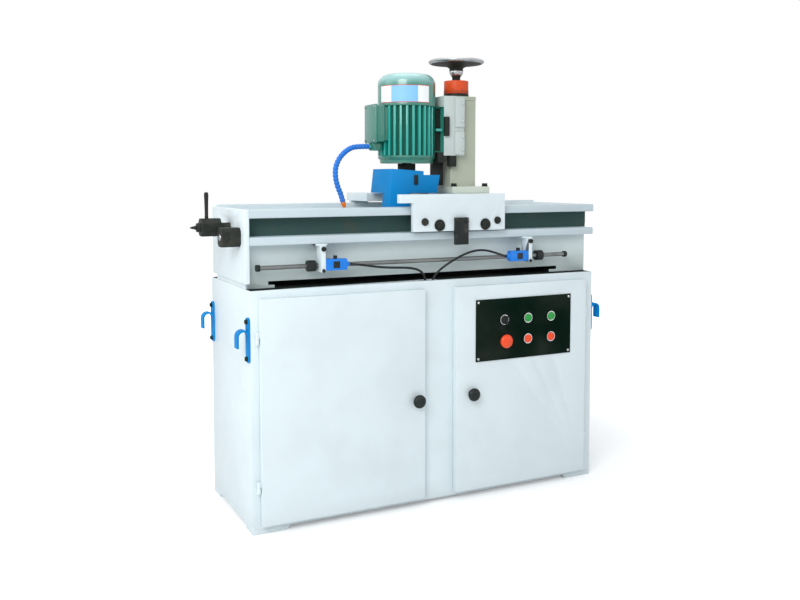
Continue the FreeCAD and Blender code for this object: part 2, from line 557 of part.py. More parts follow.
# Carriage: bridge plate with a window for the wheel, apron, shoes and chain dog
SAD_TOP = "sad_low+sad_t"
ROLLER_Z = RAIL_LOW + "+flange_t+roll_gap+roller_r"
KEEPER_Z = "rim_z-flange_t-roll_gap-keeper_r"
ROLLER_Y = FRONT + "+roller_in"
AXLES = [("left_roller", "roller_left", ROLLER_Z, "roller_r", "axle_head_r"),
         ("right_roller", "roller_right", ROLLER_Z, "roller_r", "axle_head_r"),
         ("left_keeper", "keeper_left", KEEPER_Z, "keeper_r", "keeper_head_r"),
         ("right_keeper", "keeper_right", KEEPER_Z, "keeper_r", "keeper_head_r")]


def carriage():
    plate = slab("sad_left", "sad_right", "sad_front", "sad_rear", "sad_low", SAD_TOP)
    window = slab("sad_left-over", "win_right", "win_front", "win_rear", "sad_low-over", SAD_TOP + "+over")
    apron = slab("apron_left", "sad_right", "sad_front", "sad_front+apron_t", "apron_low", "sad_low")
    shoes = [slab(x, x + "+shoe_len", BED_REAR + "+shoe_in", BED_REAR + "+back_rail_t", "back_rail_z+shoe_gap",
                  "sad_low") for x in ("sad_left", "sad_right-shoe_len")]
    chain_top = "chain_z+sprocket_r+2*chain_gap+chain_t"
    dog = slab("dog_x", "dog_x+dog_w", "chain_y", "chain_y+chain_w", chain_top, "sad_low")
    holes = [cyl("Y", x, "sad_front-over", z, "axle_r", "apron_t+2*over")
             for name, x, z, radius, head in AXLES]
    node("saddle", cut(fuse(cut(plate, window), apron, dog, *shoes), *holes))
    pins = []
    keepers = []
    for name, x, z, radius, head in AXLES:
        roller = tube("Y", x, ROLLER_Y, z, radius, "axle_r+run_gap", "roller_w")
        if name.endswith("roller"):
            node(name, roller)
        else:
            keepers.append(roller)
        pins.append(fuse(cyl("Y", x, "sad_front", z, "axle_r", "(%s)-sad_front+roller_w" % ROLLER_Y),
                         cyl("Y", x, "sad_front-axle_head", z, head, "axle_head")))
    node("keeper_rollers", group(*keepers))
    bolts = [cyl("Z", x, y, SAD_TOP + "+base_t", "base_bolt_r", "base_bolt_h")
             for x in ("base_left+base_bolt_in", "base_left+base_w-base_bolt_in")
             for y in ("col_y-base_d/2+base_bolt_in", "col_y+base_d/2-base_bolt_in")]
    node("carriage_fasteners", group(*(pins + bolts)))
    node("trip_striker", slab("strike_x-strike_w/2", "strike_x+strike_w/2", "sad_front-strike_t", "sad_front",
                              "strike_low", "strike_high"))


# Column with its base flange, screw cap, lead screw, dial and handwheel
COL_LEFT = "col_x-col_w/2"
COL_FRONT = "col_y-col_d/2"
COL_REAR = "col_y+col_d/2"
DIAL_LOW = "col_top+cap_t+index_t+top_gap"
HUB_LOW = DIAL_LOW + "+dial_t"


def column():
    body = slab(COL_LEFT, "col_x+col_w/2", COL_FRONT, COL_REAR, SAD_TOP, "col_top")
    base = slab("base_left", "base_left+base_w", "col_y-base_d/2", "col_y+base_d/2", SAD_TOP,
                SAD_TOP + "+base_t")
    room = slab(COL_LEFT + "+col_t", "col_x+col_w/2-col_t", COL_FRONT + "+col_t", COL_REAR + "-col_t",
                SAD_TOP + "+base_t", "col_top+over")
    slot = slab(COL_LEFT + "-over", COL_LEFT + "+col_t+over", "col_y-nut_slot_w/2", "col_y+nut_slot_w/2",
                "slot_low", "slot_high")
    node("column", cut(fuse(body, base), room, slot))
    cap = slab(COL_LEFT, "col_x+col_w/2", COL_FRONT, COL_REAR, "col_top", "col_top+cap_t")
    ring = cyl("Z", "col_x", "col_y", "col_top+cap_t", "index_r", "index_t")
    bore = cyl("Z", "col_x", "col_y", "col_top-over", "lead_r+run_gap", "cap_t+index_t+2*over")
    node("column_cap", cut(fuse(cap, ring), bore))


def handwheel():
    top = HUB_LOW + "+wheel_hub_h"
    node("lead_screw", cyl("Z", "col_x", "col_y", "lead_low", "lead_r", "(%s)-lead_low" % top))
    node("feed_dial", tube("Z", "col_x", "col_y", DIAL_LOW, "dial_r", "lead_r", "dial_t"))
    hub = cyl("Z", "col_x", "col_y", HUB_LOW, "wheel_hub_r", "wheel_hub_h")
    rise = "hw_rise-dish_z"
    dish = cut(cone("Z", "col_x", "col_y", HUB_LOW + "+dish_z", "wheel_hub_r", "hw_r", rise),
               cone("Z", "col_x", "col_y", HUB_LOW + "+dish_z+dish_t", "wheel_hub_r", "hw_r", rise))
    rim = doc.addObject("Part::Torus", "Rim")
    bind(rim, Radius1="hw_r", Radius2="hw_tube")
    place(rim, "col_x", "col_y", HUB_LOW + "+hw_rise")
    bore = cyl("Z", "col_x", "col_y", HUB_LOW + "-over", "lead_r", "wheel_hub_h+2*over")
    node("handwheel", cut(fuse(hub, dish, rim), bore))


# Head slide that wraps the column, with the nut on the lead screw
SLIDE_FACE = COL_LEFT + "-slide_gap-slide_t"


def head_slide():
    inner = COL_LEFT + "-slide_gap"
    high = "slide_low+slide_h"
    plate = slab(SLIDE_FACE, inner, COL_FRONT + "-slide_gap-slide_arm", COL_REAR + "+slide_gap+slide_arm",
                 "slide_low", high)
    front = slab(inner, inner + "+slide_reach", COL_FRONT + "-slide_gap-slide_arm", COL_FRONT + "-slide_gap",
                 "slide_low", high)
    back = slab(inner, inner + "+slide_reach", COL_REAR + "+slide_gap", COL_REAR + "+slide_gap+slide_arm",
                "slide_low", high)
    nut = slab(inner, "col_x+nut_over", "col_y-nut_w/2", "col_y+nut_w/2", "nut_z", "nut_z+nut_h")
    nut = cut(nut, cyl("Z", "col_x", "col_y", "nut_z-over", "lead_r+run_gap", "nut_h+2*over"))
    node("head_slide", group(fuse(plate, front, back), nut))


# Motor: finned frame with feet, end shield, stator, fan cover and terminal box
def motor():
    core = cyl("Z", "mot_x", "mot_y", "mot_low", "core_r", "mot_high-mot_low")
    crown = cyl("Z", "mot_x", "mot_y", "mot_high-cap_ring", "cover_r", "cap_ring")
    feet = slab("mot_x+foot_in", SLIDE_FACE, "mot_y-foot_w/2", "mot_y+foot_w/2", "mot_low+foot_low",
                "mot_high-cap_ring")
    pad = slab("mot_x-box_seat", "mot_x-foot_in", "mot_y-box_w/2+box_pad", "mot_y+box_w/2-box_pad",
               "box_low+box_pad", "box_high-box_pad")
    bore = cyl("Z", "mot_x", "mot_y", "mot_low-over", "bore_r", "mot_high-mot_low-mot_wall+over")
    shaft_hole = cyl("Z", "mot_x", "mot_y", "mot_low-shield_t-over", "shaft_r+run_gap",
                     "mot_high-mot_low+shield_t+2*over")
    frame = cut(fuse(core, crown, feet, pad, *fins()), bore, shaft_hole)
    shield = tube("Z", "mot_x", "mot_y", "mot_low-shield_t", "shield_r", "shaft_r+run_gap", "shield_t")
    stator = tube("Z", "mot_x", "mot_y", "mot_low+stator_in", "bore_r", "stator_r",
                  "mot_high-mot_low-mot_wall-2*stator_in")
    node("motor_frame", group(frame, shield, stator))
    straight = "cover_h-cover_dome"
    outer = fuse(cyl("Z", "mot_x", "mot_y", "mot_high", "cover_r", straight),
                 cone("Z", "mot_x", "mot_y", "cover_top-cover_dome", "cover_r", "cover_r-cover_dome",
                      "cover_dome"))
    room = fuse(cyl("Z", "mot_x", "mot_y", "mot_high", "cover_r-cover_t", straight),
                cone("Z", "mot_x", "mot_y", "cover_top-cover_dome", "cover_r-cover_t",
                     "cover_r-cover_dome", "cover_dome-cover_t"))
    node("fan_cover", cut(outer, room))
    node("terminal_box", slab("mot_x-box_out", "mot_x-box_seat", "mot_y-box_w/2", "mot_y+box_w/2",
                              "box_low", "box_high"))


# Cooling fins stand round the core, each a thin upright box
def fins():
    parts = []
    count = int(num("fin_n"))
    for i in range(count):
        angle = 360.0 * i / count
        c = "(%.9f)" % math.cos(math.radians(angle))
        s = "(%.9f)" % math.sin(math.radians(angle))
        fin = doc.addObject("Part::Box", "Fin")
        fin.Placement.Rotation = FreeCAD.Rotation(FreeCAD.Vector(0, 0, 1), angle)
        bind(fin, Length="mot_r-bore_r-fin_t", Width="fin_t", Height="mot_high-mot_low-foot_low-cap_ring")
        inner = "(bore_r+fin_t)"
        parts.append(place(fin, "mot_x+%s*%s+fin_t/2*%s" % (inner, c, s),
                           "mot_y+%s*%s-fin_t/2*%s" % (inner, s, c), "mot_low+foot_low"))
    return parts


# Spindle: rotor on its shaft, fan, wheel flange and cup wheel
def spindle():
    shaft = cyl("Z", "mot_x", "mot_y", "shaft_low", "shaft_r", "shaft_high-shaft_low")
    core = cyl("Z", "mot_x", "mot_y", "mot_low+stator_in", "rotor_r", "mot_high-mot_low-mot_wall-2*stator_in")
    hub = cyl("Z", "mot_x", "mot_y", "fan_z", "fan_hub_r", "fan_t+blade_h")
    disc = cyl("Z", "mot_x", "mot_y", "fan_z", "fan_r", "fan_t")
    blades = []
    count = int(num("blade_n"))
    for i in range(count):
        angle = 360.0 * i / count
        c = "(%.9f)" % math.cos(math.radians(angle))
        s = "(%.9f)" % math.sin(math.radians(angle))
        blade = doc.addObject("Part::Box", "Blade")
        blade.Placement.Rotation = FreeCAD.Rotation(FreeCAD.Vector(0, 0, 1), angle)
        bind(blade, Length="fan_r-shaft_r-blade_t", Width="blade_t", Height="blade_h")
        blades.append(place(blade, "mot_x+(shaft_r+blade_t)*%s" % c, "mot_y+(shaft_r+blade_t)*%s" % s,
                            "fan_z+fan_t"))
    bore = cyl("Z", "mot_x", "mot_y", "fan_z-over", "shaft_r", "fan_t+blade_h+2*over")
    node("motor_fan", cut(fuse(hub, disc, *blades), bore))
    flange = tube("Z", "mot_x", "mot_y", "hub_low", "hub_r", "shaft_r", "mot_low-shield_t-hub_low-rest_gap")
    node("spindle", group(fuse(shaft, core), flange))
    body = cyl("Z", "mot_x", "mot_y", "wheel_low", "wheel_r", "hub_low-wheel_low")
    cup = cyl("Z", "mot_x", "mot_y", "wheel_low-over", "wheel_r-wheel_rim",
              "hub_low-wheel_low-wheel_back+over")
    node("grinding_wheel", cut(body, cup, cyl("Z", "mot_x", "mot_y", "wheel_low-over", "shaft_r",
                                              "hub_low-wheel_low+2*over")))


# Stepped wheel guard with a skirt at its front left corner, its arm from the slide and a latch
def guard():
    left = slab("guard_left", "guard_step", "guard_front", "guard_rear", "guard_low", "guard_top")
    right = slab("guard_step", "guard_right", "guard_front", "guard_rear", "guard_low", "guard_top2")
    deep = ("guard_front+guard_t", "guard_rear-guard_t", "guard_low-over")
    room = slab("guard_left+guard_t", "guard_step-guard_t", *deep, "guard_top-guard_t")
    side = slab("guard_step-guard_t-over", "guard_right-guard_t", *deep, "guard_top2-guard_t")
    hole = cyl("Z", "mot_x", "mot_y", "guard_top2-guard_t-over", "guard_hole",
               "guard_top-guard_top2+guard_t+2*over")
    skirt = slab("guard_left", "skirt_right", "guard_front", "guard_front+guard_t", "skirt_low", "guard_low")
    end = slab("guard_left", "guard_left+guard_t", "guard_front", "skirt_rear", "skirt_low", "guard_low")
    node("wheel_guard", fuse(cut(fuse(left, right), room, side, hole), skirt, end))
    wide = ("mot_y-arm_w/2", "mot_y+arm_w/2", "guard_top2-arm_drop")
    arm = fuse(slab(SLIDE_FACE, SLIDE_FACE + "+arm_t", *wide, "slide_low"),
               slab("guard_right", SLIDE_FACE, *wide, "guard_top2"))
    latch = slab("latch_x-latch_w/2", "latch_x+latch_w/2", "guard_front-latch_t", "guard_front",
                 "guard_top2-latch_h", "guard_top2")
    node("guard_arm", group(arm, latch))


# Routes of straight runs joined by tangent arcs
def rounded_route(points):
    pts = [FreeCAD.Vector(*p) for p in points]
    edges = []
    radii = []
    start = pts[0]
    for before, corner, after in zip(pts, pts[1:], pts[2:]):
        back = (before - corner).normalize()
        ahead = (after - corner).normalize()
        half_turn = (math.pi - back.getAngle(ahead)) / 2
        reach = num("arc_share") * min(before.distanceToPoint(corner), corner.distanceToPoint(after))
        radius = reach / math.tan(half_turn)
        radii.append(round(radius, 1))
        first = corner + back * reach
        last = corner + ahead * reach
        centre_way = (back + ahead).normalize()
        middle = corner + centre_way * (radius / math.cos(half_turn) - radius)
        edges.append(Part.LineSegment(start, first).toShape())
        edges.append(Part.Arc(first, middle, last).toShape())
        start = last
    edges.append(Part.LineSegment(start, pts[-1]).toShape())
    return Part.Wire(edges), radii


# Cable tubes from the switch glands down to the slot in the cabinet top
LEFT_CABLE = [(-238, -195, 700), (-196, -194, 693), (-150, -192, 688), (-104, -189, 686),
              (-68, -184, 681), (-43, -176, 670), (-30, -170, 654), (-27, -168, 634)]
RIGHT_CABLE = [(207, -195, 711), (184, -195, 719), (160, -195, 725), (133, -195, 727),
               (104, -195, 722.5), (73, -195, 712), (44, -194, 698), (21, -191, 684), (4, -184, 669),
               (-6, -176, 652), (-10, -171, 632)]


def cable(name, points):
    path, radii = rounded_route(points)
    way = FreeCAD.Vector(*points[1]) - FreeCAD.Vector(*points[0])
    ring = Part.Wire(Part.Circle(FreeCAD.Vector(*points[0]), way, num("cable_r")).toShape())
    solid = path.makePipeShell([ring], True, False)
    share = solid.Volume / (math.pi * num("cable_r") ** 2 * path.Length)
    print(name, "radii", radii, "length", round(path.Length, 1), "volume share", round(share, 4))
    node(name, shaped(solid))


def cables():
    gland_z = "switch_z+switch_h/2"
    y = num("hang_front+switch_w/2")
    left = (num("hang_left+hang_t+switch_len+gland_len"), y, num(gland_z))
    right = (num("hang_right-switch_len-gland_len"), y, num(gland_z))
    cable("left_switch_cable", [left] + LEFT_CABLE)
    cable("right_switch_cable", [right] + RIGHT_CABLE)


# Segmented coolant hose: ribs along its route, with the bore, manifold and nozzle
HOSE = [(-197.5, -70, 1025), (-224, -75, 1017), (-249, -81, 998.6), (-263.6, -84, 977),
        (-270, -87, 955.9), (-269.8, -90, 932.3), (-264, -92, 908.6), (-256.5, -94, 891.6), (-250, -95, 868)]


def ring_at(path, along, radius):
    point = path.getPoint(along)
    way = path.getTangent(along)
    side = FreeCAD.Vector(0, 1, 0)
    side = (side - way * side.dot(way)).normalize()
    turn = FreeCAD.Rotation(side, way.cross(side), way, "ZXY")
    circle = Part.Circle(FreeCAD.Vector(), FreeCAD.Vector(0, 0, 1), radius).toShape()
    circle.Placement = FreeCAD.Placement(point, turn)
    return Part.Wire(circle)


class Route:
    def __init__(self, wire):
        self.edges = wire.OrderedEdges
        self.length = wire.Length

    def find(self, along):
        for edge in self.edges:
            if along <= edge.Length + 1e-7 or edge.isSame(self.edges[-1]):
                return edge, edge.getParameterByLength(min(max(along, 0.0), edge.Length))
            along -= edge.Length

    def getPoint(self, along):
        edge, value = self.find(along)
        return edge.valueAt(value)

    def getTangent(self, along):
        edge, value = self.find(along)
        return edge.tangentAt(value).normalize()


def hose():
    x0 = "manifold_x"
    manifold = slab(x0, x0 + "+manifold_w", "mot_y-manifold_w/2", "mot_y+manifold_w/2",
                    "box_low-manifold_h", "box_low")
    first = (num(x0), num("mot_y"), num("box_low-manifold_h/2"))
    wire, radii = rounded_route([first] + HOSE)
    print("coolant_hose radii", radii, "length", round(wire.Length, 1))
    route = Route(wire)
    count = int(round(route.length / num("hose_pitch")))
    pitch = route.length / count
    rings = []
    for i in range(count):
        rings.append(ring_at(route, i * pitch, num("hose_neck")))
        for share, radius in (("rib_rise", "hose_r"), ("rib_end", "hose_r"), ("rib_fall", "hose_neck")):
            rings.append(ring_at(route, (i + num(share)) * pitch, num(radius)))
    rings.append(ring_at(route, route.length, num("hose_neck")))
    bores = [ring_at(route, i * route.length / (2 * count), num("hose_bore")) for i in range(2 * count + 1)]
    outer = Part.makeLoft(rings, True, True)
    inner = Part.makeLoft(bores, True, True)
    node("coolant_hose", shaped(outer.cut(inner)))
    tip = route.getPoint(route.length)
    way = route.getTangent(route.length)
    long = num("nozzle_len")
    body = Part.makeCone(num("nozzle_r"), num("nozzle_tip"), long, tip, way)
    hollow = Part.makeCone(num("hose_bore"), num("nozzle_tip-nozzle_wall"), long, tip, way)
    node("hose_fittings", group(manifold, shaped(body.cut(hollow))))


cabinet()
hinges()
doors()
panel()
controls()
hooks()
coolant()
bed()
tray()
rails()
trip_gear()
drive()
knife_table()
carriage()
column()
handwheel()
head_slide()
motor()
spindle()
guard()
cables()
hose()
doc.recompute()

failed = [o.Label for o in doc.Objects if {"Invalid", "Error"} & set(o.State)]
failed += [o.Label for o in NODES if o.Shape.isNull() or not o.Shape.isValid()]
if failed:
    raise RuntimeError("not built: " + ", ".join(failed))
os.makedirs("parts", exist_ok=True)
for part in NODES:
    part.Shape.exportStep("parts/%s.step" % part.Label)
print(len(NODES), "nodes written")
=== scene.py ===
import bmesh
import bpy
import json
import math
from mathutils import Matrix, Vector

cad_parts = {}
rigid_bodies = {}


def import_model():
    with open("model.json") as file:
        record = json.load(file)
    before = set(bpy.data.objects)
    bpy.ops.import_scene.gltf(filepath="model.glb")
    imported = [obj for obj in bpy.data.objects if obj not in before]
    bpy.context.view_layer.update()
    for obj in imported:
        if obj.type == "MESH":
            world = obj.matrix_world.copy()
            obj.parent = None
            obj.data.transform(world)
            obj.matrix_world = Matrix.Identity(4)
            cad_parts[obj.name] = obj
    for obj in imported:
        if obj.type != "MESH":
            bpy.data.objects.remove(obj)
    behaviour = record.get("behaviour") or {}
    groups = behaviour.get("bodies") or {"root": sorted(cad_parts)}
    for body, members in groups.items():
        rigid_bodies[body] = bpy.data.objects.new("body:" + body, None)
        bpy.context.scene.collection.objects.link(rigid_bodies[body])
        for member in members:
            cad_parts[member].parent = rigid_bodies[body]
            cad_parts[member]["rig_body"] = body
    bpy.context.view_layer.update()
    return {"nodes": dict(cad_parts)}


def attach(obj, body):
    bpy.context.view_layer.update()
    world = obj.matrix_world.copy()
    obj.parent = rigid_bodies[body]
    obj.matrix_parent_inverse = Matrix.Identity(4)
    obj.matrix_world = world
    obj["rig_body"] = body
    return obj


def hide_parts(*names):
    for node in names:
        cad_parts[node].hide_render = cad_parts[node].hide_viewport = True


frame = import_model()
nodes = frame["nodes"]
scene = bpy.context.scene
scene.view_settings.view_transform = "Standard"

# Directions, seen from the front of the machine
LEFT = (-1, 0, 0)
FRONT = (0, -1, 0)
UP = (0, 0, 1)

# Viewpoint of the photograph: place in metres, turns in degrees
EYE = (-1.2278, -2.4014, 0.9388)
LOOK_DOWN = 4.05
LOOK_RIGHT = 26.62
SENSOR_WIDTH = 36.0
LENS = 40.22
PICTURE_SHIFT = -0.075


def set_camera():
    data = bpy.data.cameras.new("viewpoint")
    data.sensor_width = SENSOR_WIDTH
    data.lens = LENS
    data.shift_y = PICTURE_SHIFT
    data.clip_start = 0.01
    data.clip_end = 100.0
    camera = bpy.data.objects.new("viewpoint", data)
    camera.location = EYE
    camera.rotation_euler = (math.radians(90.0 - LOOK_DOWN), 0.0, math.radians(-LOOK_RIGHT))
    scene.collection.objects.link(camera)
    scene.camera = camera


set_camera()

# Socket kinds, and what each surface group puts out
COLOUR = "NodeSocketColor"
VALUE = "NodeSocketFloat"
VECTOR = "NodeSocketVector"
SURFACE = [("Colour", COLOUR), ("Roughness", VALUE), ("Height", VALUE)]
NOISE_ROUGHNESS = 0.6


# Shader groups shared by the finishes
def new_group(name, inputs, outputs):
    tree = bpy.data.node_groups.new(name, "ShaderNodeTree")
    for label, kind, value in inputs:
        socket = tree.interface.new_socket(label, in_out="INPUT", socket_type=kind)
        socket.default_value = value
    for label, kind in outputs:
        tree.interface.new_socket(label, in_out="OUTPUT", socket_type=kind)
    return tree, tree.nodes.new("NodeGroupInput"), tree.nodes.new("NodeGroupOutput")


# A plain value is set on the socket, another node's output is linked to it
def feed(tree, value, socket):
    if isinstance(value, (int, float)):
        socket.default_value = value
    else:
        tree.links.new(value, socket)


def hand_out(tree, end, **results):
    for label, result in results.items():
        tree.links.new(result, end.inputs[label])


def object_place(tree):
    return tree.nodes.new("ShaderNodeTexCoord").outputs["Object"]


def height_at(tree, place):
    split = tree.nodes.new("ShaderNodeSeparateXYZ")
    tree.links.new(place, split.inputs[0])
    return split.outputs["Z"]


def add_noise(tree, vector, scale, detail):
    noise = tree.nodes.new("ShaderNodeTexNoise")
    noise.inputs["Detail"].default_value = detail
    noise.inputs["Roughness"].default_value = NOISE_ROUGHNESS
    feed(tree, scale, noise.inputs["Scale"])
    feed(tree, vector, noise.inputs["Vector"])
    return noise.outputs["Fac"]


def add_range(tree, value, low, high, out_low, out_high):
    ramp = tree.nodes.new("ShaderNodeMapRange")
    ramp.interpolation_type = "SMOOTHSTEP"
    feed(tree, low, ramp.inputs["From Min"])
    feed(tree, high, ramp.inputs["From Max"])
    feed(tree, out_low, ramp.inputs["To Min"])
    feed(tree, out_high, ramp.inputs["To Max"])
    feed(tree, value, ramp.inputs["Value"])
    return ramp.outputs["Result"]


# In a colour mix the factor is input 0, the colours are inputs 6 and 7, the result is output 2
def add_mix(tree, factor, first, second):
    mix = tree.nodes.new("ShaderNodeMix")
    mix.data_type = "RGBA"
    feed(tree, factor, mix.inputs[0])
    feed(tree, first, mix.inputs[6])
    feed(tree, second, mix.inputs[7])
    return mix.outputs[2]


def add_maths(tree, operation, first, second):
    node = tree.nodes.new("ShaderNodeMath")
    node.operation = operation
    feed(tree, first, node.inputs[0])
    feed(tree, second, node.inputs[1])
    return node.outputs[0]


def add_scaled(tree, value, layer, share):
    return add_maths(tree, "ADD", value, add_maths(tree, "MULTIPLY", layer, share))


# Sprayed enamel: faint clouding, orange peel, small scuffs and floor grime near the feet
def paint_group():
    tree, start, end = new_group("sprayed_enamel", [
        ("Colour", COLOUR, (0.8, 0.8, 0.8, 1)),
        ("Grime", COLOUR, (0.2, 0.19, 0.17, 1)),
        ("Gloss", VALUE, 0.35),
        ("Wear", VALUE, 0.3)], SURFACE)
    place = object_place(tree)
    cloud = add_noise(tree, place, scale=5.0, detail=3.0)
    peel = add_noise(tree, place, scale=420.0, detail=1.0)
    scuff = add_noise(tree, place, scale=38.0, detail=5.0)
    grime = add_range(tree, height_at(tree, place), low=0.09, high=0.0, out_low=0.0, out_high=0.22)
    grime = add_maths(tree, "MULTIPLY", grime, scuff)
    spots = add_range(tree, scuff, low=0.66, high=0.78, out_low=0.0, out_high=start.outputs["Wear"])
    haze = add_range(tree, cloud, low=0.35, high=0.75, out_low=0.0, out_high=0.09)
    dirt = add_maths(tree, "MAXIMUM", add_scaled(tree, haze, spots, share=0.35), grime)
    colour = add_mix(tree, dirt, start.outputs["Colour"], start.outputs["Grime"])
    sheen = add_range(tree, cloud, low=0.3, high=0.7, out_low=-0.04, out_high=0.07)
    rough = add_maths(tree, "ADD", start.outputs["Gloss"], sheen)
    rough = add_scaled(tree, rough, dirt, share=0.4)
    hand_out(tree, end, Colour=colour, Roughness=rough, Height=add_scaled(tree, peel, cloud, share=0.6))
    return tree


# Ground or cast metal: grain drawn out along one axis, with oil stains
def metal_group():
    tree, start, end = new_group("worked_metal", [
        ("Colour", COLOUR, (0.6, 0.6, 0.6, 1)),
        ("Stain", COLOUR, (0.1, 0.09, 0.07, 1)),
        ("Stretch", VECTOR, (1.0, 1.0, 1.0)),
        ("Grain", VALUE, 300.0),
        ("Polish", VALUE, 0.3)], SURFACE)
    place = object_place(tree)
    stretch = tree.nodes.new("ShaderNodeVectorMath")
    stretch.operation = "MULTIPLY"
    tree.links.new(place, stretch.inputs[0])
    tree.links.new(start.outputs["Stretch"], stretch.inputs[1])
    grain = add_noise(tree, stretch.outputs[0], scale=start.outputs["Grain"], detail=3.0)
    stain = add_noise(tree, place, scale=14.0, detail=4.0)
    blot = add_range(tree, stain, low=0.5, high=0.8, out_low=0.0, out_high=0.55)
    streak = add_range(tree, grain, low=0.3, high=0.75, out_low=0.0, out_high=0.22)
    toned = add_mix(tree, streak, start.outputs["Colour"], start.outputs["Stain"])
    colour = add_mix(tree, blot, toned, start.outputs["Stain"])
    sheen = add_range(tree, grain, low=0.3, high=0.7, out_low=-0.06, out_high=0.14)
    rough = add_maths(tree, "ADD", start.outputs["Polish"], sheen)
    rough = add_scaled(tree, rough, blot, share=0.25)
    hand_out(tree, end, Colour=colour, Roughness=rough, Height=grain)
    return tree


# Moulded plastic and rubber: fine stipple and dull patches
def plastic_group():
    tree, start, end = new_group("moulded_skin", [
        ("Colour", COLOUR, (0.5, 0.5, 0.5, 1)),
        ("Dust", COLOUR, (0.5, 0.5, 0.48, 1)),
        ("Gloss", VALUE, 0.3),
        ("Stipple", VALUE, 900.0)], SURFACE)
    place = object_place(tree)
    stipple = add_noise(tree, place, scale=start.outputs["Stipple"], detail=1.0)
    patch = add_noise(tree, place, scale=30.0, detail=4.0)
    dust = add_range(tree, patch, low=0.5, high=0.85, out_low=0.0, out_high=0.12)
    colour = add_mix(tree, dust, start.outputs["Colour"], start.outputs["Dust"])
    sheen = add_range(tree, patch, low=0.3, high=0.8, out_low=-0.05, out_high=0.16)
    rough = add_maths(tree, "ADD", start.outputs["Gloss"], sheen)
    hand_out(tree, end, Colour=colour, Roughness=rough, Height=stipple)
    return tree


# Colour tint over another finish, thickening from one height to another: a painted highlight on the fan
# cover's top, and grime with painted shade low on the bed wall
def height_tint_group():
    tree, start, end = new_group("height_tint", [
        ("Colour", COLOUR, (0.5, 0.5, 0.5, 1)),
        ("Film", COLOUR, (0.5, 0.5, 0.5, 1)),
        ("Clear Height", VALUE, 0.0),
        ("Full Height", VALUE, 1.0),
        ("Amount", VALUE, 0.5)], [("Colour", COLOUR)])
    height = height_at(tree, object_place(tree))
    share = add_range(tree, height, low=start.outputs["Clear Height"], high=start.outputs["Full Height"],
                      out_low=0.0, out_high=start.outputs["Amount"])
    hand_out(tree, end, Colour=add_mix(tree, share, start.outputs["Colour"], start.outputs["Film"]))
    return tree


ENAMEL = paint_group()
METAL = metal_group()
MOULDED = plastic_group()
HEIGHT_TINT = height_tint_group()
BUMP_DEPTH = 0.0004


# One material: a shared group feeds the shader's colour, roughness and bump
def finish(name, group, colour, bump, metallic=0.0, coat=0.0, specular=0.32, **values):
    material = bpy.data.materials.new(name)
    material.use_nodes = True
    tree = material.node_tree
    shader = tree.nodes["Principled BSDF"]
    shader.inputs["Metallic"].default_value = metallic
    shader.inputs["Coat Weight"].default_value = coat
    shader.inputs["Specular IOR Level"].default_value = specular
    surface = tree.nodes.new("ShaderNodeGroup")
    surface.node_tree = group
    surface.inputs["Colour"].default_value = (*colour, 1.0)
    for label, value in values.items():
        surface.inputs[label].default_value = value
    raise_up = tree.nodes.new("ShaderNodeBump")
    raise_up.inputs["Strength"].default_value = bump
    raise_up.inputs["Distance"].default_value = BUMP_DEPTH
    tree.links.new(surface.outputs["Colour"], shader.inputs["Base Color"])
    tree.links.new(surface.outputs["Roughness"], shader.inputs["Roughness"])
    tree.links.new(surface.outputs["Height"], raise_up.inputs["Height"])
    tree.links.new(raise_up.outputs["Normal"], shader.inputs["Normal"])
    material.diffuse_color = (*colour, 1.0)
    return material


PALE = finish("pale_enamel", ENAMEL, (0.71, 0.8, 0.83), bump=0.12, coat=0.08, Gloss=0.4, Wear=0.2)
# Bed wall enamel: the height tint below darkens it low down, partly grime and partly painted shade near the
# trip rod
BED_PALE_GRIME_AND_SHADE = finish("bed_wall_grime_and_painted_shade", ENAMEL, (0.68, 0.77, 0.78), bump=0.14, coat=0.05, Gloss=0.42,
                  Wear=0.3)
RAIL_PALE = finish("rail_enamel", ENAMEL, (0.54, 0.63, 0.67), bump=0.14, coat=0.05, Gloss=0.42,
                   Wear=0.3)
OFF_WHITE = finish("off_white_enamel", ENAMEL, (0.53, 0.6, 0.58), bump=0.14, Gloss=0.45, Wear=0.3)
CREAM = finish("cream_enamel", ENAMEL, (0.43, 0.47, 0.37), bump=0.16, Gloss=0.48, Wear=0.4)
# Lighter cream of the column's base is painted light from above
CREAM_PAINTED_LIGHT = finish("base_cream_painted_light", ENAMEL, (0.62, 0.66, 0.58), bump=0.16, Gloss=0.48, Wear=0.4)
SKY_BLUE = finish("sky_blue_enamel", ENAMEL, (0.0, 0.24, 0.6), bump=0.14, specular=0.06, Gloss=0.45,
                  Wear=0.2)
MOTOR_GREEN = finish("motor_green_enamel", ENAMEL, (0.0, 0.17, 0.12), bump=0.25, coat=0.7, specular=0.7,
                     Gloss=0.36, Wear=0.3)
# Fan cover green: the height tint below puts a painted highlight on its top
COWL_GREEN_PAINTED_HIGHLIGHT = finish("cowl_green_painted_highlight", ENAMEL, (0.0, 0.19, 0.135), bump=0.2, coat=0.8, specular=0.7,
                    Gloss=0.34, Wear=0.2)
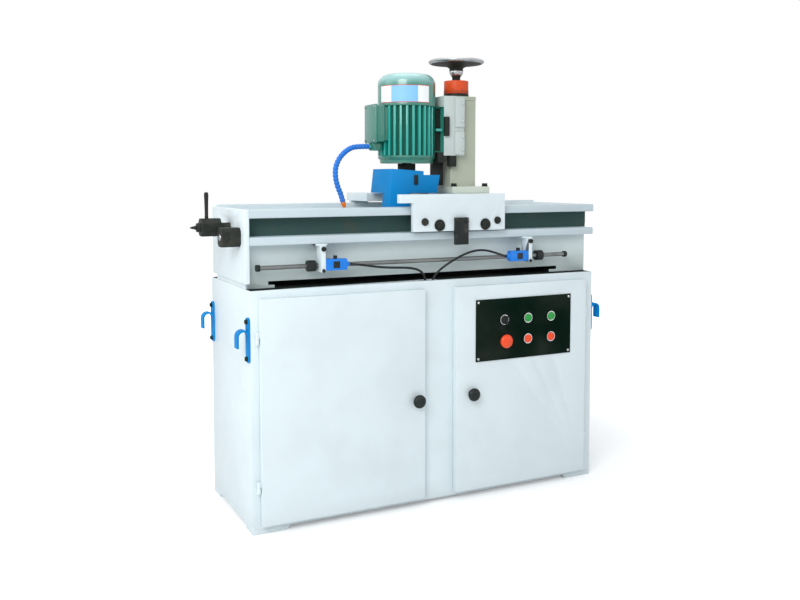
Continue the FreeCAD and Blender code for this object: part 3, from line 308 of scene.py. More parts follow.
# Lighter fin green is painted light on the ridges, darker root green is painted shade between the fins
FIN_GREEN_PAINTED_LIGHT = finish("fin_green_painted_light", ENAMEL, (0.0, 0.34, 0.28), bump=0.2, coat=0.6, specular=0.6,
                   Gloss=0.36, Wear=0.3)
ROOT_PAINTED_SHADE = finish("fin_root_painted_shade", ENAMEL, (0.0, 0.085, 0.06), bump=0.3, specular=0.15, Gloss=0.6,
                    Wear=0.3)
DIAL_RED = finish("dial_red_enamel", ENAMEL, (0.72, 0.075, 0.012), bump=0.1, coat=0.05, specular=0.2,
                  Gloss=0.4, Wear=0.3)
RED_EDGE = finish("red_border", ENAMEL, (0.66, 0.03, 0.03), bump=0.05, Gloss=0.4, Wear=0.2)
BAND_WHITE = finish("band_white", ENAMEL, (0.9, 0.93, 0.93), bump=0.05, coat=0.1, Gloss=0.35, Wear=0.1)
BAND_BLUE = finish("band_blue", ENAMEL, (0.24, 0.55, 0.86), bump=0.05, coat=0.1, Gloss=0.35, Wear=0.1)
SHADE = finish("unlit_recess", ENAMEL, (0.008, 0.014, 0.012), bump=0.3, specular=0.1, Gloss=0.8,
               Wear=0.2)
GROUND = finish("ground_steel", METAL, (0.62, 0.63, 0.64), bump=0.15, metallic=1.0, Polish=0.26,
                Stretch=(0.06, 1.0, 1.0))
TURNED = finish("turned_steel", METAL, (0.56, 0.57, 0.58), bump=0.15, metallic=1.0, Polish=0.28,
                Stretch=(1.0, 1.0, 0.1))
ROD_STEEL = finish("rod_steel", METAL, (0.24, 0.25, 0.25), bump=0.15, metallic=0.8, Polish=0.4,
                   Stretch=(0.06, 1.0, 1.0))
DARK_STEEL = finish("blackened_steel", METAL, (0.012, 0.017, 0.015), bump=0.3, specular=0.14,
                    Polish=0.45)
RAIL_STEEL = finish("rail_web_steel", METAL, (0.038, 0.088, 0.082), bump=0.4, specular=0.08,
                    Grain=160.0, Polish=0.6)
CHROME = finish("bezel_chrome", METAL, (0.86, 0.87, 0.88), bump=0.03, metallic=1.0, Grain=60.0,
                Polish=0.1)
BLACK = finish("black_moulding", MOULDED, (0.008, 0.012, 0.011), bump=0.2, specular=0.3, Gloss=0.4)
PANEL_BLACK = finish("panel_black_enamel", ENAMEL, (0.001, 0.009, 0.005), bump=0.15, specular=0.03,
                     Gloss=0.5, Wear=0.05)
BUTTON_GREEN = finish("start_green", MOULDED, (0.012, 0.3, 0.045), bump=0.06, coat=0.3, Gloss=0.25)
BUTTON_RED = finish("stop_red", MOULDED, (0.86, 0.07, 0.012), bump=0.06, coat=0.2, Gloss=0.3)
SWITCH_BLUE = finish("switch_blue", MOULDED, (0.01, 0.2, 0.72), bump=0.12, Gloss=0.38)
HOSE_BLUE = finish("hose_blue", MOULDED, (0.012, 0.17, 0.62), bump=0.1, Gloss=0.38)
NOZZLE_ORANGE = finish("nozzle_orange", MOULDED, (0.86, 0.2, 0.012), bump=0.1, Gloss=0.34)
SHEATH = finish("cable_sheath", MOULDED, (0.008, 0.012, 0.011), bump=0.3, Gloss=0.5, Stipple=1500.0)
GRIT = finish("bonded_grit", METAL, (0.58, 0.5, 0.44), bump=1.0, Grain=700.0, Polish=0.85,
              Stain=(0.3, 0.24, 0.2, 1))


def tint_by_height(material, clear_height, full_height, colour, amount):
    tree = material.node_tree
    base = tree.nodes["Principled BSDF"].inputs["Base Color"]
    clean = base.links[0].from_socket
    film = tree.nodes.new("ShaderNodeGroup")
    film.node_tree = HEIGHT_TINT
    film.inputs["Film"].default_value = (*colour, 1.0)
    film.inputs["Clear Height"].default_value = clear_height
    film.inputs["Full Height"].default_value = full_height
    film.inputs["Amount"].default_value = amount
    tree.links.new(clean, film.inputs["Colour"])
    tree.links.new(film.outputs["Colour"], base)


# Painted highlight on top of the fan cover; darker tint low on the bed's front wall, partly oily grime and
# partly painted shade near the trip rod
tint_by_height(COWL_GREEN_PAINTED_HIGHLIGHT, clear_height=1.196, full_height=1.222, colour=(0.46, 0.74, 0.76), amount=0.6)
tint_by_height(BED_PALE_GRIME_AND_SHADE, clear_height=0.735, full_height=0.680, colour=(0.33, 0.4, 0.36), amount=0.42)

# Angles in degrees, merging distances in metres
SMOOTH_ANGLE = 32.0
SHARP_ANGLE = 28.0
FLAT_ANGLE = 0.5
MERGE_REACH = 1e-6
CAD_MERGE_REACH = 1e-5


# Finishing a shape: mesh, normals, material slots, body and the node it stands for
def keep(name, bm, body, materials, *stands_for, smooth=SMOOTH_ANGLE):
    mesh = bpy.data.meshes.new(name)
    bm.normal_update()
    bm.to_mesh(mesh)
    bm.free()
    mesh.shade_smooth()
    mesh.set_sharp_from_angle(angle=math.radians(smooth))
    for material in materials if isinstance(materials, list) else [materials]:
        mesh.materials.append(material)
    piece = bpy.data.objects.new(name, mesh)
    scene.collection.objects.link(piece)
    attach(piece, body)
    if stands_for:
        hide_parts(*stands_for)
    return piece


# Faces of a finished piece change material slot by their place
def repaint(piece, rule):
    for face in piece.data.polygons:
        face.material_index = rule(face.center)


def outward(bm):
    bmesh.ops.remove_doubles(bm, verts=bm.verts, dist=MERGE_REACH)
    bmesh.ops.recalc_face_normals(bm, faces=bm.faces)


def edges_of(verts):
    return list({edge for vert in verts for edge in vert.link_edges})


def edges_along_x(verts, shortest):
    return [e for e in edges_of(verts) if abs(e.verts[0].co.x - e.verts[1].co.x) > shortest]


def bevel(bm, edges, offset, segments, clamp=False):
    bmesh.ops.bevel(bm, geom=edges, offset=offset, offset_type="OFFSET", segments=segments, profile=0.5,
                    affect="EDGES", material=-1, clamp_overlap=clamp)


def round_edges(bm, radius, segments=2):
    sharp = [e for e in bm.edges if e.is_manifold and e.calc_face_angle() > math.radians(SHARP_ANGLE)]
    bevel(bm, sharp, radius, segments, clamp=True)


# A merged copy of a node's solid, ready for broken edges
def solid_of(node):
    bm = bmesh.new()
    bm.from_mesh(nodes[node].data)
    bmesh.ops.remove_doubles(bm, verts=bm.verts, dist=CAD_MERGE_REACH)
    bmesh.ops.dissolve_limit(bm, angle_limit=math.radians(FLAT_ANGLE), verts=bm.verts, edges=bm.edges)
    return bm


def dress(node, material, radius, segments=2):
    bm = solid_of(node)
    round_edges(bm, radius, segments)
    return keep(node + "_finished", bm, nodes[node]["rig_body"], material, node)


def box(bm, low, high):
    size = Vector(high) - Vector(low)
    middle = (Vector(high) + Vector(low)) / 2
    place = Matrix.Translation(middle) @ Matrix.Diagonal((*size, 1.0))
    return bmesh.ops.create_cube(bm, size=1.0, matrix=place)["verts"]


# A block with the four long corners along X cut away
def cut_block(bm, low, high, cut):
    verts = box(bm, low, high)
    bevel(bm, edges_along_x(verts, shortest=1e-6), cut, segments=1)
    round_edges(bm, radius=0.0012)


# A turned shape: radius and distance along the axis, spun about that axis
def lathe(bm, profile, base, axis, steps):
    turn = Vector(UP).rotation_difference(Vector(axis)).to_matrix()
    verts = [bm.verts.new(Vector(base) + turn @ Vector((radius, 0, along))) for radius, along in profile]
    edges = [bm.edges.new(pair) for pair in zip(verts, verts[1:])]
    bmesh.ops.spin(bm, geom=verts + edges, cent=base, axis=axis, angle=math.tau, steps=steps,
                   use_merge=True)


# A piece that is one turned shape
def turn_piece(name, profile, base, axis, body, material, *stands_for, steps, smooth=SMOOTH_ANGLE):
    bm = bmesh.new()
    lathe(bm, profile, base, axis, steps)
    outward(bm)
    return keep(name, bm, body, material, *stands_for, smooth=smooth)


# Shares of a bolt head: washer thickness to height, corner radius and edge break to width across flats
WASHER_SHARE = 0.25
CORNER_SHARE = 0.577
BREAK_SHARE = 0.06


# Hexagon head on a washer, standing on a face
def hex_bolt(bm, base, axis, across, height, washer=1.25):
    turn = Vector(UP).rotation_difference(Vector(axis)).to_matrix().to_4x4()
    at = Matrix.Translation(base) @ turn
    thin = height * WASHER_SHARE
    wide = across * washer / 2
    corner = across * CORNER_SHARE
    bmesh.ops.create_cone(bm, cap_ends=True, segments=24, radius1=wide, radius2=wide, depth=thin,
                          matrix=at @ Matrix.Translation((0, 0, thin / 2)))
    above = at @ Matrix.Translation((0, 0, (height + thin) / 2))
    head = bmesh.ops.create_cone(bm, cap_ends=True, segments=6, radius1=corner, radius2=corner,
                                 depth=height - thin, matrix=above)
    bevel(bm, edges_of(head["verts"]), across * BREAK_SHARE, segments=2)


# Free cables and the hose: the route's points in millimetres, as control points of one smooth line
LEFT_CABLE = [(-276, -195, 705), (-238, -195, 700), (-196, -194, 693), (-150, -192, 688), (-104, -189, 686),
              (-68, -184, 681), (-43, -176, 670), (-30, -170, 654), (-27, -168, 634)]
RIGHT_CABLE = [(230, -195, 705), (207, -195, 711), (184, -195, 719), (160, -195, 725), (133, -195, 727),
               (104, -195, 722.5), (73, -195, 712), (44, -194, 698), (21, -191, 684), (4, -184, 669),
               (-6, -176, 652), (-10, -171, 632)]
HOSE = [(-152, -70, 1025), (-197.5, -70, 1025), (-224, -75, 1017), (-249, -81, 998.6), (-263.6, -84, 977),
        (-270, -87, 955.9), (-269.8, -90, 932.3), (-264, -92, 908.6), (-256.5, -94, 891.6), (-250, -95, 868)]
MM_PER_METRE = 1000
CABLE_RADIUS = 0.0032


def route_curve(name, points):
    data = bpy.data.curves.new(name, "CURVE")
    data.dimensions = "3D"
    data.resolution_u = 24
    line = data.splines.new("NURBS")
    line.points.add(len(points) - 1)
    for point, (x, y, z) in zip(line.points, points):
        point.co = (x / MM_PER_METRE, y / MM_PER_METRE, z / MM_PER_METRE, 1.0)
    line.order_u = 3
    line.use_endpoint_u = True
    curve = bpy.data.objects.new(name, data)
    scene.collection.objects.link(curve)
    return curve


def lay_cable(name, node, points):
    curve = route_curve(name, points)
    curve.data.bevel_depth = CABLE_RADIUS
    curve.data.bevel_resolution = 5
    curve.data.use_fill_caps = True
    curve.data.materials.append(SHEATH)
    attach(curve, nodes[node]["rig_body"])
    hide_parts(node)


lay_cable("left_cable", "left_switch_cable", LEFT_CABLE)
lay_cable("right_cable", "right_switch_cable", RIGHT_CABLE)

# Hose segment: share of the pitch and radius of each ring, with a plain ring to close the last one
HOSE_PITCH = 0.0102
HOSE_RINGS = ((0.0, 0.0060), (0.12, 0.0073), (0.3, 0.0077), (0.62, 0.0077), (0.82, 0.0070), (0.92, 0.0060))
HOSE_END_RADIUS = 0.0060
HOSE_SIDES = 20
NOZZLE = [(0.0, 0.0), (0.0066, 0.0), (0.0074, 0.0012), (0.0074, 0.0055), (0.0062, 0.0065), (0.0058, 0.0085),
          (0.0036, 0.0178), (0.0026, 0.0178), (0.0022, 0.0120), (0.0, 0.0120)]
MANIFOLD_BLOCK = ((-0.152, -0.085, 1.013), (-0.122, -0.055, 1.037))
MANIFOLD_NUT = [(0.0, -0.0001), (0.0092, -0.0001), (0.0092, 0.006), (0.0082, 0.0072), (0.0, 0.0072)]
MANIFOLD_MOUTH = (-0.152, -0.070, 1.025)


def ring_matrix(point, way):
    side = Vector((0, 1, 0))
    side = (side - way * side.dot(way)).normalized()
    turn = Matrix((side, way.cross(side), way)).transposed().to_4x4()
    return Matrix.Translation(point) @ turn


def route_points(name, points):
    curve = route_curve(name, points)
    mesh = bpy.data.meshes.new_from_object(curve)
    line = [v.co.copy() for v in mesh.vertices]
    bpy.data.meshes.remove(mesh)
    bpy.data.objects.remove(curve)
    return line


def point_along(line, reach):
    for first, second in zip(line, line[1:]):
        run = (second - first).length
        if reach <= run:
            return first.lerp(second, reach / run), (second - first).normalized()
        reach -= run
    return line[-1], (line[-1] - line[-2]).normalized()


# Segmented coolant hose: rings along the smooth route, swelling at each segment
def hose_skin(line, length):
    count = round(length / HOSE_PITCH)
    pitch = length / count
    stations = [((i + share) * pitch, radius) for i in range(count) for share, radius in HOSE_RINGS]
    stations.append((length, HOSE_END_RADIUS))
    bm = bmesh.new()
    before = None
    for reach, radius in stations:
        place = ring_matrix(*point_along(line, reach))
        made = bmesh.ops.create_circle(bm, segments=HOSE_SIDES, radius=radius, matrix=place)
        ring = edges_of(made["verts"])
        if before:
            bmesh.ops.bridge_loops(bm, edges=before + ring)
        before = ring
    bmesh.ops.holes_fill(bm, edges=[e for e in bm.edges if e.is_boundary])
    outward(bm)
    return bm


def make_hose():
    line = route_points("hose_route", HOSE)
    length = sum((b - a).length for a, b in zip(line, line[1:]))
    hose = keep("segmented_hose", hose_skin(line, length), "head", HOSE_BLUE, "coolant_hose", smooth=50.0)
    end, way = point_along(line, length)
    nozzle = turn_piece("hose_nozzle", NOZZLE, end, way, "head", NOZZLE_ORANGE, steps=24)
    bm = bmesh.new()
    box(bm, *MANIFOLD_BLOCK)
    round_edges(bm, radius=0.003)
    lathe(bm, MANIFOLD_NUT, MANIFOLD_MOUTH, LEFT, steps=6)
    outward(bm)
    manifold = keep("hose_manifold", bm, "head", MOTOR_GREEN, "hose_fittings")


make_hose()

# Part of the cabinet's top that lies under the bed and stays unlit
TOP_LEVEL = 0.643
TOP_FRONT = -0.149
TOP_BACK = 0.129
TOP_HALF_WIDTH = 0.47


# Cabinet, feet and doors
def make_cabinet():
    shell = dress("cabinet_shell", [PALE, SHADE], radius=0.0012)

    def slot(c):
        unlit = c.z > TOP_LEVEL and TOP_FRONT < c.y < TOP_BACK and abs(c.x) < TOP_HALF_WIDTH
        return 1 if unlit else 0
    repaint(shell, slot)
    dress("foot_plates", PALE, radius=0.0015)
    dress("left_door", PALE, radius=0.0035, segments=3)
    dress("right_door", PALE, radius=0.0035, segments=3)
    dress("door_hinges", PALE, radius=0.0006)
    dress("coolant_unit", DARK_STEEL, radius=0.0015)


# Pull knob turned with a domed face and a waisted neck
KNOB = [(0.0, 0.0260), (0.0090, 0.0255), (0.0148, 0.0236), (0.0182, 0.0200), (0.0190, 0.0160),
        (0.0182, 0.0125), (0.0150, 0.0100), (0.0092, 0.0088), (0.0080, 0.0070), (0.0085, 0.0020),
        (0.0110, 0.0), (0.0, 0.0)]
KNOB_FACE = -0.209
KNOB_HEIGHT = 0.311
LEFT_KNOB_X = -0.075
RIGHT_KNOB_X = 0.103


def make_knob(side, x):
    turn_piece(side + "_pull", KNOB, (x, KNOB_FACE, KNOB_HEIGHT), FRONT, side + "_door", BLACK,
               side + "_knob", steps=40, smooth=40.0)


# Control panel with corner screws, round-edged caps and the mushroom stop
MUSHROOM = [(0.0, 0.0275), (0.0080, 0.0271), (0.0145, 0.0256), (0.0185, 0.0232), (0.0200, 0.0200),
            (0.0198, 0.0162), (0.0185, 0.0137), (0.0090, 0.0135), (0.0090, 0.0082), (0.0060, 0.0080),
            (0.0060, -0.0290), (0.0, -0.0290)]
PANEL_FACE = -0.212
MUSHROOM_PLACE = (0.209, PANEL_FACE, 0.459)
SCREW = [(0.0, 0.0012), (0.0026, 0.0018), (0.0040, 0.0006), (0.0042, 0.0), (0.0, 0.0)]
SCREW_COLUMNS = (0.124, 0.445)
SCREW_ROWS = (0.410, 0.575)
PUSH_BUTTONS = (("wheel_start_button", BUTTON_GREEN), ("feed_start_button", BUTTON_GREEN),
                ("wheel_stop_button", BUTTON_RED), ("feed_stop_button", BUTTON_RED))


def make_controls():
    dress("control_panel", PANEL_BLACK, radius=0.0008)
    dress("button_bezels", CHROME, radius=0.0012)
    for name, colour in PUSH_BUTTONS:
        dress(name, colour, radius=0.0016, segments=3)
    dress("selector_switch", BLACK, radius=0.0015, segments=3)
    turn_piece("mushroom_stop", MUSHROOM, MUSHROOM_PLACE, FRONT, "emergency_stop", BUTTON_RED,
               "emergency_stop", steps=40, smooth=40.0)
    bm = bmesh.new()
    for x in SCREW_COLUMNS:
        for z in SCREW_ROWS:
            lathe(bm, SCREW, (x, PANEL_FACE, z), FRONT, steps=16)
    outward(bm)
    keep("panel_screws", bm, "right_door", TURNED)


# Side hooks: a bolted strip and a strap bent over like a cane
HOOK_WALL = 0.550
HOOK_Y = 0.174
STRIP_THICK = 0.005
STRIP_HALF = 0.014
STRIP_LOW = 0.457
STRIP_HIGH = 0.574
STRIP_ROUND = 0.009
HOOK_BOLT_ROWS = (0.467, 0.564)
STRAP_INNER = 0.0008
STRAP_OUTER = 0.0058
STRAP_HALF = 0.013
STRAP_TOP = 0.527
BEND_CENTRE = 0.018
HOOK_DROP = 0.030


def add_strip(bm, side, face, y):
    low, high = sorted((face, face + side * STRIP_THICK))
    strip = box(bm, (low, y - STRIP_HALF, STRIP_LOW), (high, y + STRIP_HALF, STRIP_HIGH))
    bevel(bm, edges_along_x(strip, shortest=0.004), STRIP_ROUND, segments=4)


def add_cane(bm, side, face, y):
    inner = face + side * STRAP_INNER
    outer = face + side * STRAP_OUTER
    corners = ((inner, -STRAP_HALF), (outer, -STRAP_HALF), (outer, STRAP_HALF), (inner, STRAP_HALF))
    section = bm.faces.new([bm.verts.new((x, y + w, STRAP_TOP)) for x, w in corners])
    bent = bmesh.ops.spin(bm, geom=[section], cent=(face + side * BEND_CENTRE, y, STRAP_TOP),
                          axis=(0, side, 0), angle=math.pi, steps=12)
    last = [g for g in bent["geom_last"] if isinstance(g, bmesh.types.BMFace)]
    leg = bmesh.ops.extrude_face_region(bm, geom=last)
    moved = [g for g in leg["geom"] if isinstance(g, bmesh.types.BMVert)]
    bmesh.ops.translate(bm, verts=moved, vec=(0, 0, -HOOK_DROP))
    bmesh.ops.delete(bm, geom=last, context="FACES_ONLY")


def make_hooks():
    bm = bmesh.new()
    heads = bmesh.new()
    for side in (-1, 1):
        for y in (-HOOK_Y, HOOK_Y):
            face = side * HOOK_WALL
            add_strip(bm, side, face, y)
            add_cane(bm, side, face, y)
            for z in HOOK_BOLT_ROWS:
                hex_bolt(heads, (face + side * STRIP_THICK, y, z), (side, 0, 0), across=0.011, height=0.0060)
    outward(bm)
    keep("cane_hooks", bm, "bed", SKY_BLUE, "tool_hooks")
    outward(heads)
    keep("hook_bolts", heads, "bed", DARK_STEEL)


make_cabinet()
make_knob("left", LEFT_KNOB_X)
make_knob("right", RIGHT_KNOB_X)
make_controls()
make_hooks()

# Where the bed's unlit inside, its front wall and the rail's dark web begin and end
WALL_FRONT = -0.1535
WALL_BACK = -0.1495
WALL_TOP = 0.79
BED_INSIDE_BACK = 0.1285
BED_INSIDE_TOP = 0.757
BED_INSIDE_HALF = 0.5459
BED_CORNER_TOP = 0.664
BED_CORNER_INNER = 0.52
WEB_FRONT = -0.1515
WEB_LOW = 0.7832
WEB_HIGH = 0.8318


# Bed, tray and rails, with the dark web and the unlit recess below
def make_bed():
    bed = dress("bed_frame", [PALE, SHADE, BED_PALE_GRIME_AND_SHADE], radius=0.0020)

    def slot(c):
        corner = c.z < BED_CORNER_TOP and abs(c.x) > BED_CORNER_INNER
        within = WALL_BACK < c.y < BED_INSIDE_BACK and c.z < BED_INSIDE_TOP and abs(c.x) < BED_INSIDE_HALF
        if within and not corner:
            return 1
        # Front wall takes the enamel darkened low down, partly grime and partly painted shade
        return 2 if WALL_FRONT < c.y <= WALL_BACK and c.z < WALL_TOP else 0
    repaint(bed, slot)
    dress("coolant_tray", PALE, radius=0.0012)
    rail = dress("front_rail", [RAIL_PALE, RAIL_STEEL], radius=0.0025, segments=3)
    repaint(rail, lambda c: 1 if c.y > WEB_FRONT and WEB_LOW < c.z < WEB_HIGH else 0)
    dress("rear_rail", GROUND, radius=0.0010)
    dress("trunnion_bushes", TURNED, radius=0.0006)


# Travel-limit gear: places of the collars, rod ends, straps, switch lids and bolts
COLLARS_X = (-0.378, 0.356)
COLLAR_HALF = 0.0125
ROD_LEFT_CAP = -0.5195
ROD_RIGHT_CAP = 0.4475
STRAPS_X = (-0.353, 0.307)
STRAP_PLATE_HALF = 0.0065
STRAP_FLANGE_HALF = 0.0175
STRAP_FLANGE_LOW = 0.750
ROD_Y = -0.176
ROD_Z = 0.702
ROD_CLEAR = 0.0062
SWITCHES = (("left", -0.316), ("right", 0.270))
SWITCH_LID_HALF = 0.009
SWITCH_LID_BACK = -0.2058
SWITCH_LID_FRONT = -0.2078
SWITCH_LID_LOW = 0.696
SWITCH_LID_HIGH = 0.714
STRAP_FACE = -0.206
UPPER_STRAP_BOLT = 0.748
LOWER_STRAP_BOLT = 0.690


# Grey rod, black collars, pale straps, blue boxes with black lids
def make_trip_gear():
    rod = dress("trip_rod", [ROD_STEEL, BLACK, PALE], radius=0.0009)

    def slot(c):
        collar = any(abs(c.x - x) < COLLAR_HALF for x in COLLARS_X)
        if collar or c.x < ROD_LEFT_CAP or c.x > ROD_RIGHT_CAP:
            return 1
        near = min(abs(c.x - x) for x in STRAPS_X)
        plate = near < STRAP_PLATE_HALF and math.hypot(c.y - ROD_Y, c.z - ROD_Z) > ROD_CLEAR
        flange = near < STRAP_FLANGE_HALF and c.z > STRAP_FLANGE_LOW
        return 2 if plate or flange else 0
    repaint(rod, slot)
    for side, x in SWITCHES:
        dress(side + "_limit_switch", SWITCH_BLUE, radius=0.0018)
        dress(side + "_plunger", BLACK, radius=0.0010)
        bm = bmesh.new()
        low = (x - SWITCH_LID_HALF, SWITCH_LID_FRONT, SWITCH_LID_LOW)
        high = (x + SWITCH_LID_HALF, SWITCH_LID_BACK, SWITCH_LID_HIGH)
        box(bm, low, high)
        round_edges(bm, radius=0.0008)
        keep(side + "_switch_lid", bm, "bed", BLACK)
    bm = bmesh.new()
    for x in STRAPS_X:
        hex_bolt(bm, (x, STRAP_FACE, UPPER_STRAP_BOLT), FRONT, across=0.011, height=0.006)
        hex_bolt(bm, (x, STRAP_FACE, LOWER_STRAP_BOLT), FRONT, across=0.008, height=0.004)
    outward(bm)
    keep("strap_bolts", bm, "bed", DARK_STEEL)


# Knife table, clamp, hub and lever
LEVER = [(0.0, -0.010), (0.005, -0.010), (0.005, 0.004), (0.0046, 0.010), (0.0052, 0.045), (0.0060, 0.060),
         (0.0056, 0.067), (0.0034, 0.0698), (0.0, 0.070)]
LEVER_FOOT = (-0.623, -0.045, 0.828)
HUB_BLOCK = ((-0.640, -0.070, 0.780), (-0.588, -0.020, 0.828))
HUB_CUT = 0.013
HUB_PIN = [(0.0, 0.028), (0.0022, 0.0262), (0.0050, 0.0140), (0.0060, 0.0130), (0.0060, -0.0020),
           (0.0, -0.0020)]
HUB_PIN_BASE = (-0.640, -0.045, 0.804)
STOP_BLOCK = ((-0.612, -0.156, 0.757), (-0.562, -0.110, 0.807))
STOP_CUT = 0.009
STOP_BUSH = [(0.0, 0.0005), (0.0066, 0.0005), (0.0066, -0.0002), (0.0085, -0.0002), (0.0080, 0.0012),
             (0.0, 0.0012)]
STOP_BUSH_BASE = (-0.612, -0.133, 0.782)
TABLE_END = -0.5625


def make_table():
    table = dress("knife_table", [GROUND, DARK_STEEL], radius=0.0015)
    repaint(table, lambda c: 1 if c.x < TABLE_END else 0)
    dress("knife_clamp", DARK_STEEL, radius=0.0012)
    bm = bmesh.new()
    cut_block(bm, *HUB_BLOCK, HUB_CUT)
    lathe(bm, HUB_PIN, HUB_PIN_BASE, LEFT, steps=24)
    outward(bm)
    keep("trunnion_hub_finished", bm, "table", DARK_STEEL, "trunnion_hub")
    bm = bmesh.new()
    cut_block(bm, *STOP_BLOCK, STOP_CUT)
    keep("tilt_stop_block_finished", bm, "bed", DARK_STEEL, "tilt_stop_block")
    turn_piece("hub_lever", LEVER, LEVER_FOOT, UP, "table", DARK_STEEL, "table_lever", steps=24)
    turn_piece("stop_bush", STOP_BUSH, STOP_BUSH_BASE, LEFT, "bed", TURNED, steps=20)


# Feed drive behind the bed
def make_drive():
    dress("feed_chain", DARK_STEEL, radius=0.0010)
    dress("feed_gearmotor", MOTOR_GREEN, radius=0.0025)
    dress("drive_sprocket", TURNED, radius=0.0008)
    dress("idler_sprocket", TURNED, radius=0.0008)


# Places of the carriage bolts, where the column's base takes a lighter cream as painted light, and where the
# cap turns dark steel
SADDLE_FACE = -0.214
AXLE_NUTS_X = (-0.007, 0.143)
AXLE_NUTS_Z = 0.803
KEEPER_BOLTS_X = (-0.054, 0.184)
KEEPER_BOLTS_Z = 0.8133
COLUMN_BOLTS_X = (0.091, 0.197)
COLUMN_BOLTS_Y = (-0.123, -0.017)
COLUMN_BOLTS_Z = 0.910
STRIKER_BOLTS_X = (0.0445, 0.0755)
STRIKER_FACE = -0.226
STRIKER_BOLTS_Z = 0.8125
WIDE_WASHER = 1.3
COLUMN_BASE_TOP = 0.9105
CAP_PLATE_LOW = 1.1758


# Carriage with its axle nuts and column bolts
def make_carriage():
    dress("saddle", PALE, radius=0.0022, segments=3)
    dress("keeper_rollers", TURNED, radius=0.0010)
    dress("left_roller", TURNED, radius=0.0010)
    dress("right_roller", TURNED, radius=0.0010)
    dress("trip_striker", BLACK, radius=0.0020, segments=3)
    bm = bmesh.new()
    for x in AXLE_NUTS_X:
        hex_bolt(bm, (x, SADDLE_FACE, AXLE_NUTS_Z), FRONT, across=0.0255, height=0.0075, washer=WIDE_WASHER)
    for x in KEEPER_BOLTS_X:
        hex_bolt(bm, (x, SADDLE_FACE, KEEPER_BOLTS_Z), FRONT, across=0.0165, height=0.0070,
                 washer=WIDE_WASHER)
    for x in COLUMN_BOLTS_X:
        for y in COLUMN_BOLTS_Y:
            hex_bolt(bm, (x, y, COLUMN_BOLTS_Z), UP, across=0.0145, height=0.0095, washer=WIDE_WASHER)
    for x in STRIKER_BOLTS_X:
        hex_bolt(bm, (x, STRIKER_FACE, STRIKER_BOLTS_Z), FRONT, across=0.008, height=0.0040)
    outward(bm)
    keep("carriage_bolts", bm, "carriage", DARK_STEEL)
    nodes["carriage_fasteners"].data.materials.clear()
    nodes["carriage_fasteners"].data.materials.append(DARK_STEEL)
    # Column's base flange takes the lighter cream as painted light
    column = dress("column", [CREAM, CREAM_PAINTED_LIGHT], radius=0.0030, segments=3)
    repaint(column, lambda c: 1 if c.z < COLUMN_BASE_TOP else 0)
    cap = dress("column_cap", [CREAM, DARK_STEEL], radius=0.0020)
    repaint(cap, lambda c: 1 if c.z > CAP_PLATE_LOW else 0)


make_bed()
make_trip_gear()
make_table()
make_drive()
make_carriage()

# Handwheel: trumpet dish on a bright nut, with a polished rim
WHEEL = [(0.0101, 0.0), (0.0122, 0.0), (0.0122, 0.0120), (0.0160, 0.0160), (0.0200, 0.0225),
         (0.0212, 0.0290), (0.0200, 0.0340), (0.0205, 0.0370), (0.0260, 0.0415), (0.0380, 0.0452),
         (0.0560, 0.0480), (0.0680, 0.0495), (0.0760, 0.0503), (0.0805, 0.0520), (0.0830, 0.0556),
         (0.0822, 0.0592), (0.0790, 0.0613), (0.0755, 0.0612), (0.0720, 0.0585), (0.0660, 0.0550),
         (0.0500, 0.0535), (0.0350, 0.0520), (0.0240, 0.0500), (0.0185, 0.0470), (0.0175, 0.0460),
         (0.0101, 0.0460)]
WHEEL_BASE = (0.128, -0.070, 1.2223)
RIM_INNER = 0.0750
NUT_LOW = 1.2380
NUT_HIGH = 1.2535
NUT_INNER = 0.0150
NUT_OUTER = 0.0215
TICK_COUNT = 40
TICKS_TO_LONG = 5
LONG_TICK = 0.012
SHORT_TICK = 0.007
TICK_HALF = 0.0005
TICK_OUTER = -0.0369
TICK_INNER = -0.0363
DIAL_BASE = (0.128, -0.070, 1.1860)


def make_ticks():
    bm = bmesh.new()
    for i in range(TICK_COUNT):
        tall = LONG_TICK if i % TICKS_TO_LONG == 0 else SHORT_TICK
        tick = box(bm, (-TICK_HALF, TICK_OUTER, 0.0), (TICK_HALF, TICK_INNER, tall))
        turn = Matrix.Rotation(math.tau * i / TICK_COUNT, 3, "Z")
        bmesh.ops.rotate(bm, verts=tick, cent=(0, 0, 0), matrix=turn)
    bmesh.ops.translate(bm, verts=bm.verts, vec=DIAL_BASE)
    keep("dial_ticks", bm, "handwheel", BLACK)


def make_handwheel():
    wheel = turn_piece("dished_handwheel", WHEEL + WHEEL[:1], WHEEL_BASE, UP, "handwheel",
                       [DARK_STEEL, TURNED], "handwheel", steps=72, smooth=45.0)
    axis = Vector(WHEEL_BASE)

    def slot(c):
        radius = (c.xy - axis.xy).length
        nut = NUT_LOW < c.z < NUT_HIGH and NUT_INNER < radius < NUT_OUTER
        return 1 if radius > RIM_INNER or nut else 0
    repaint(wheel, slot)
    dress("feed_dial", DIAL_RED, radius=0.0014)
    make_ticks()
    dress("lead_screw", TURNED, radius=0.0008)


# Fan cover: a rounded cap with slots between two radii of its top
COVER = [(0.0840, 0.0), (0.0840, 0.0570), (0.0829, 0.0642), (0.0799, 0.0710), (0.0752, 0.0767),
         (0.0692, 0.0813), (0.0625, 0.0842), (0.0560, 0.0853), (0.0230, 0.0867), (0.0, 0.0870)]
SLOTS_INNER = 0.0230
SLOTS_OUTER = 0.0560
COVER_SHEET = 0.002
COVER_FOOT = (-0.038, -0.070, 1.148)


def from_cover_axis(place):
    return place.xy - Vector(COVER_FOOT).xy


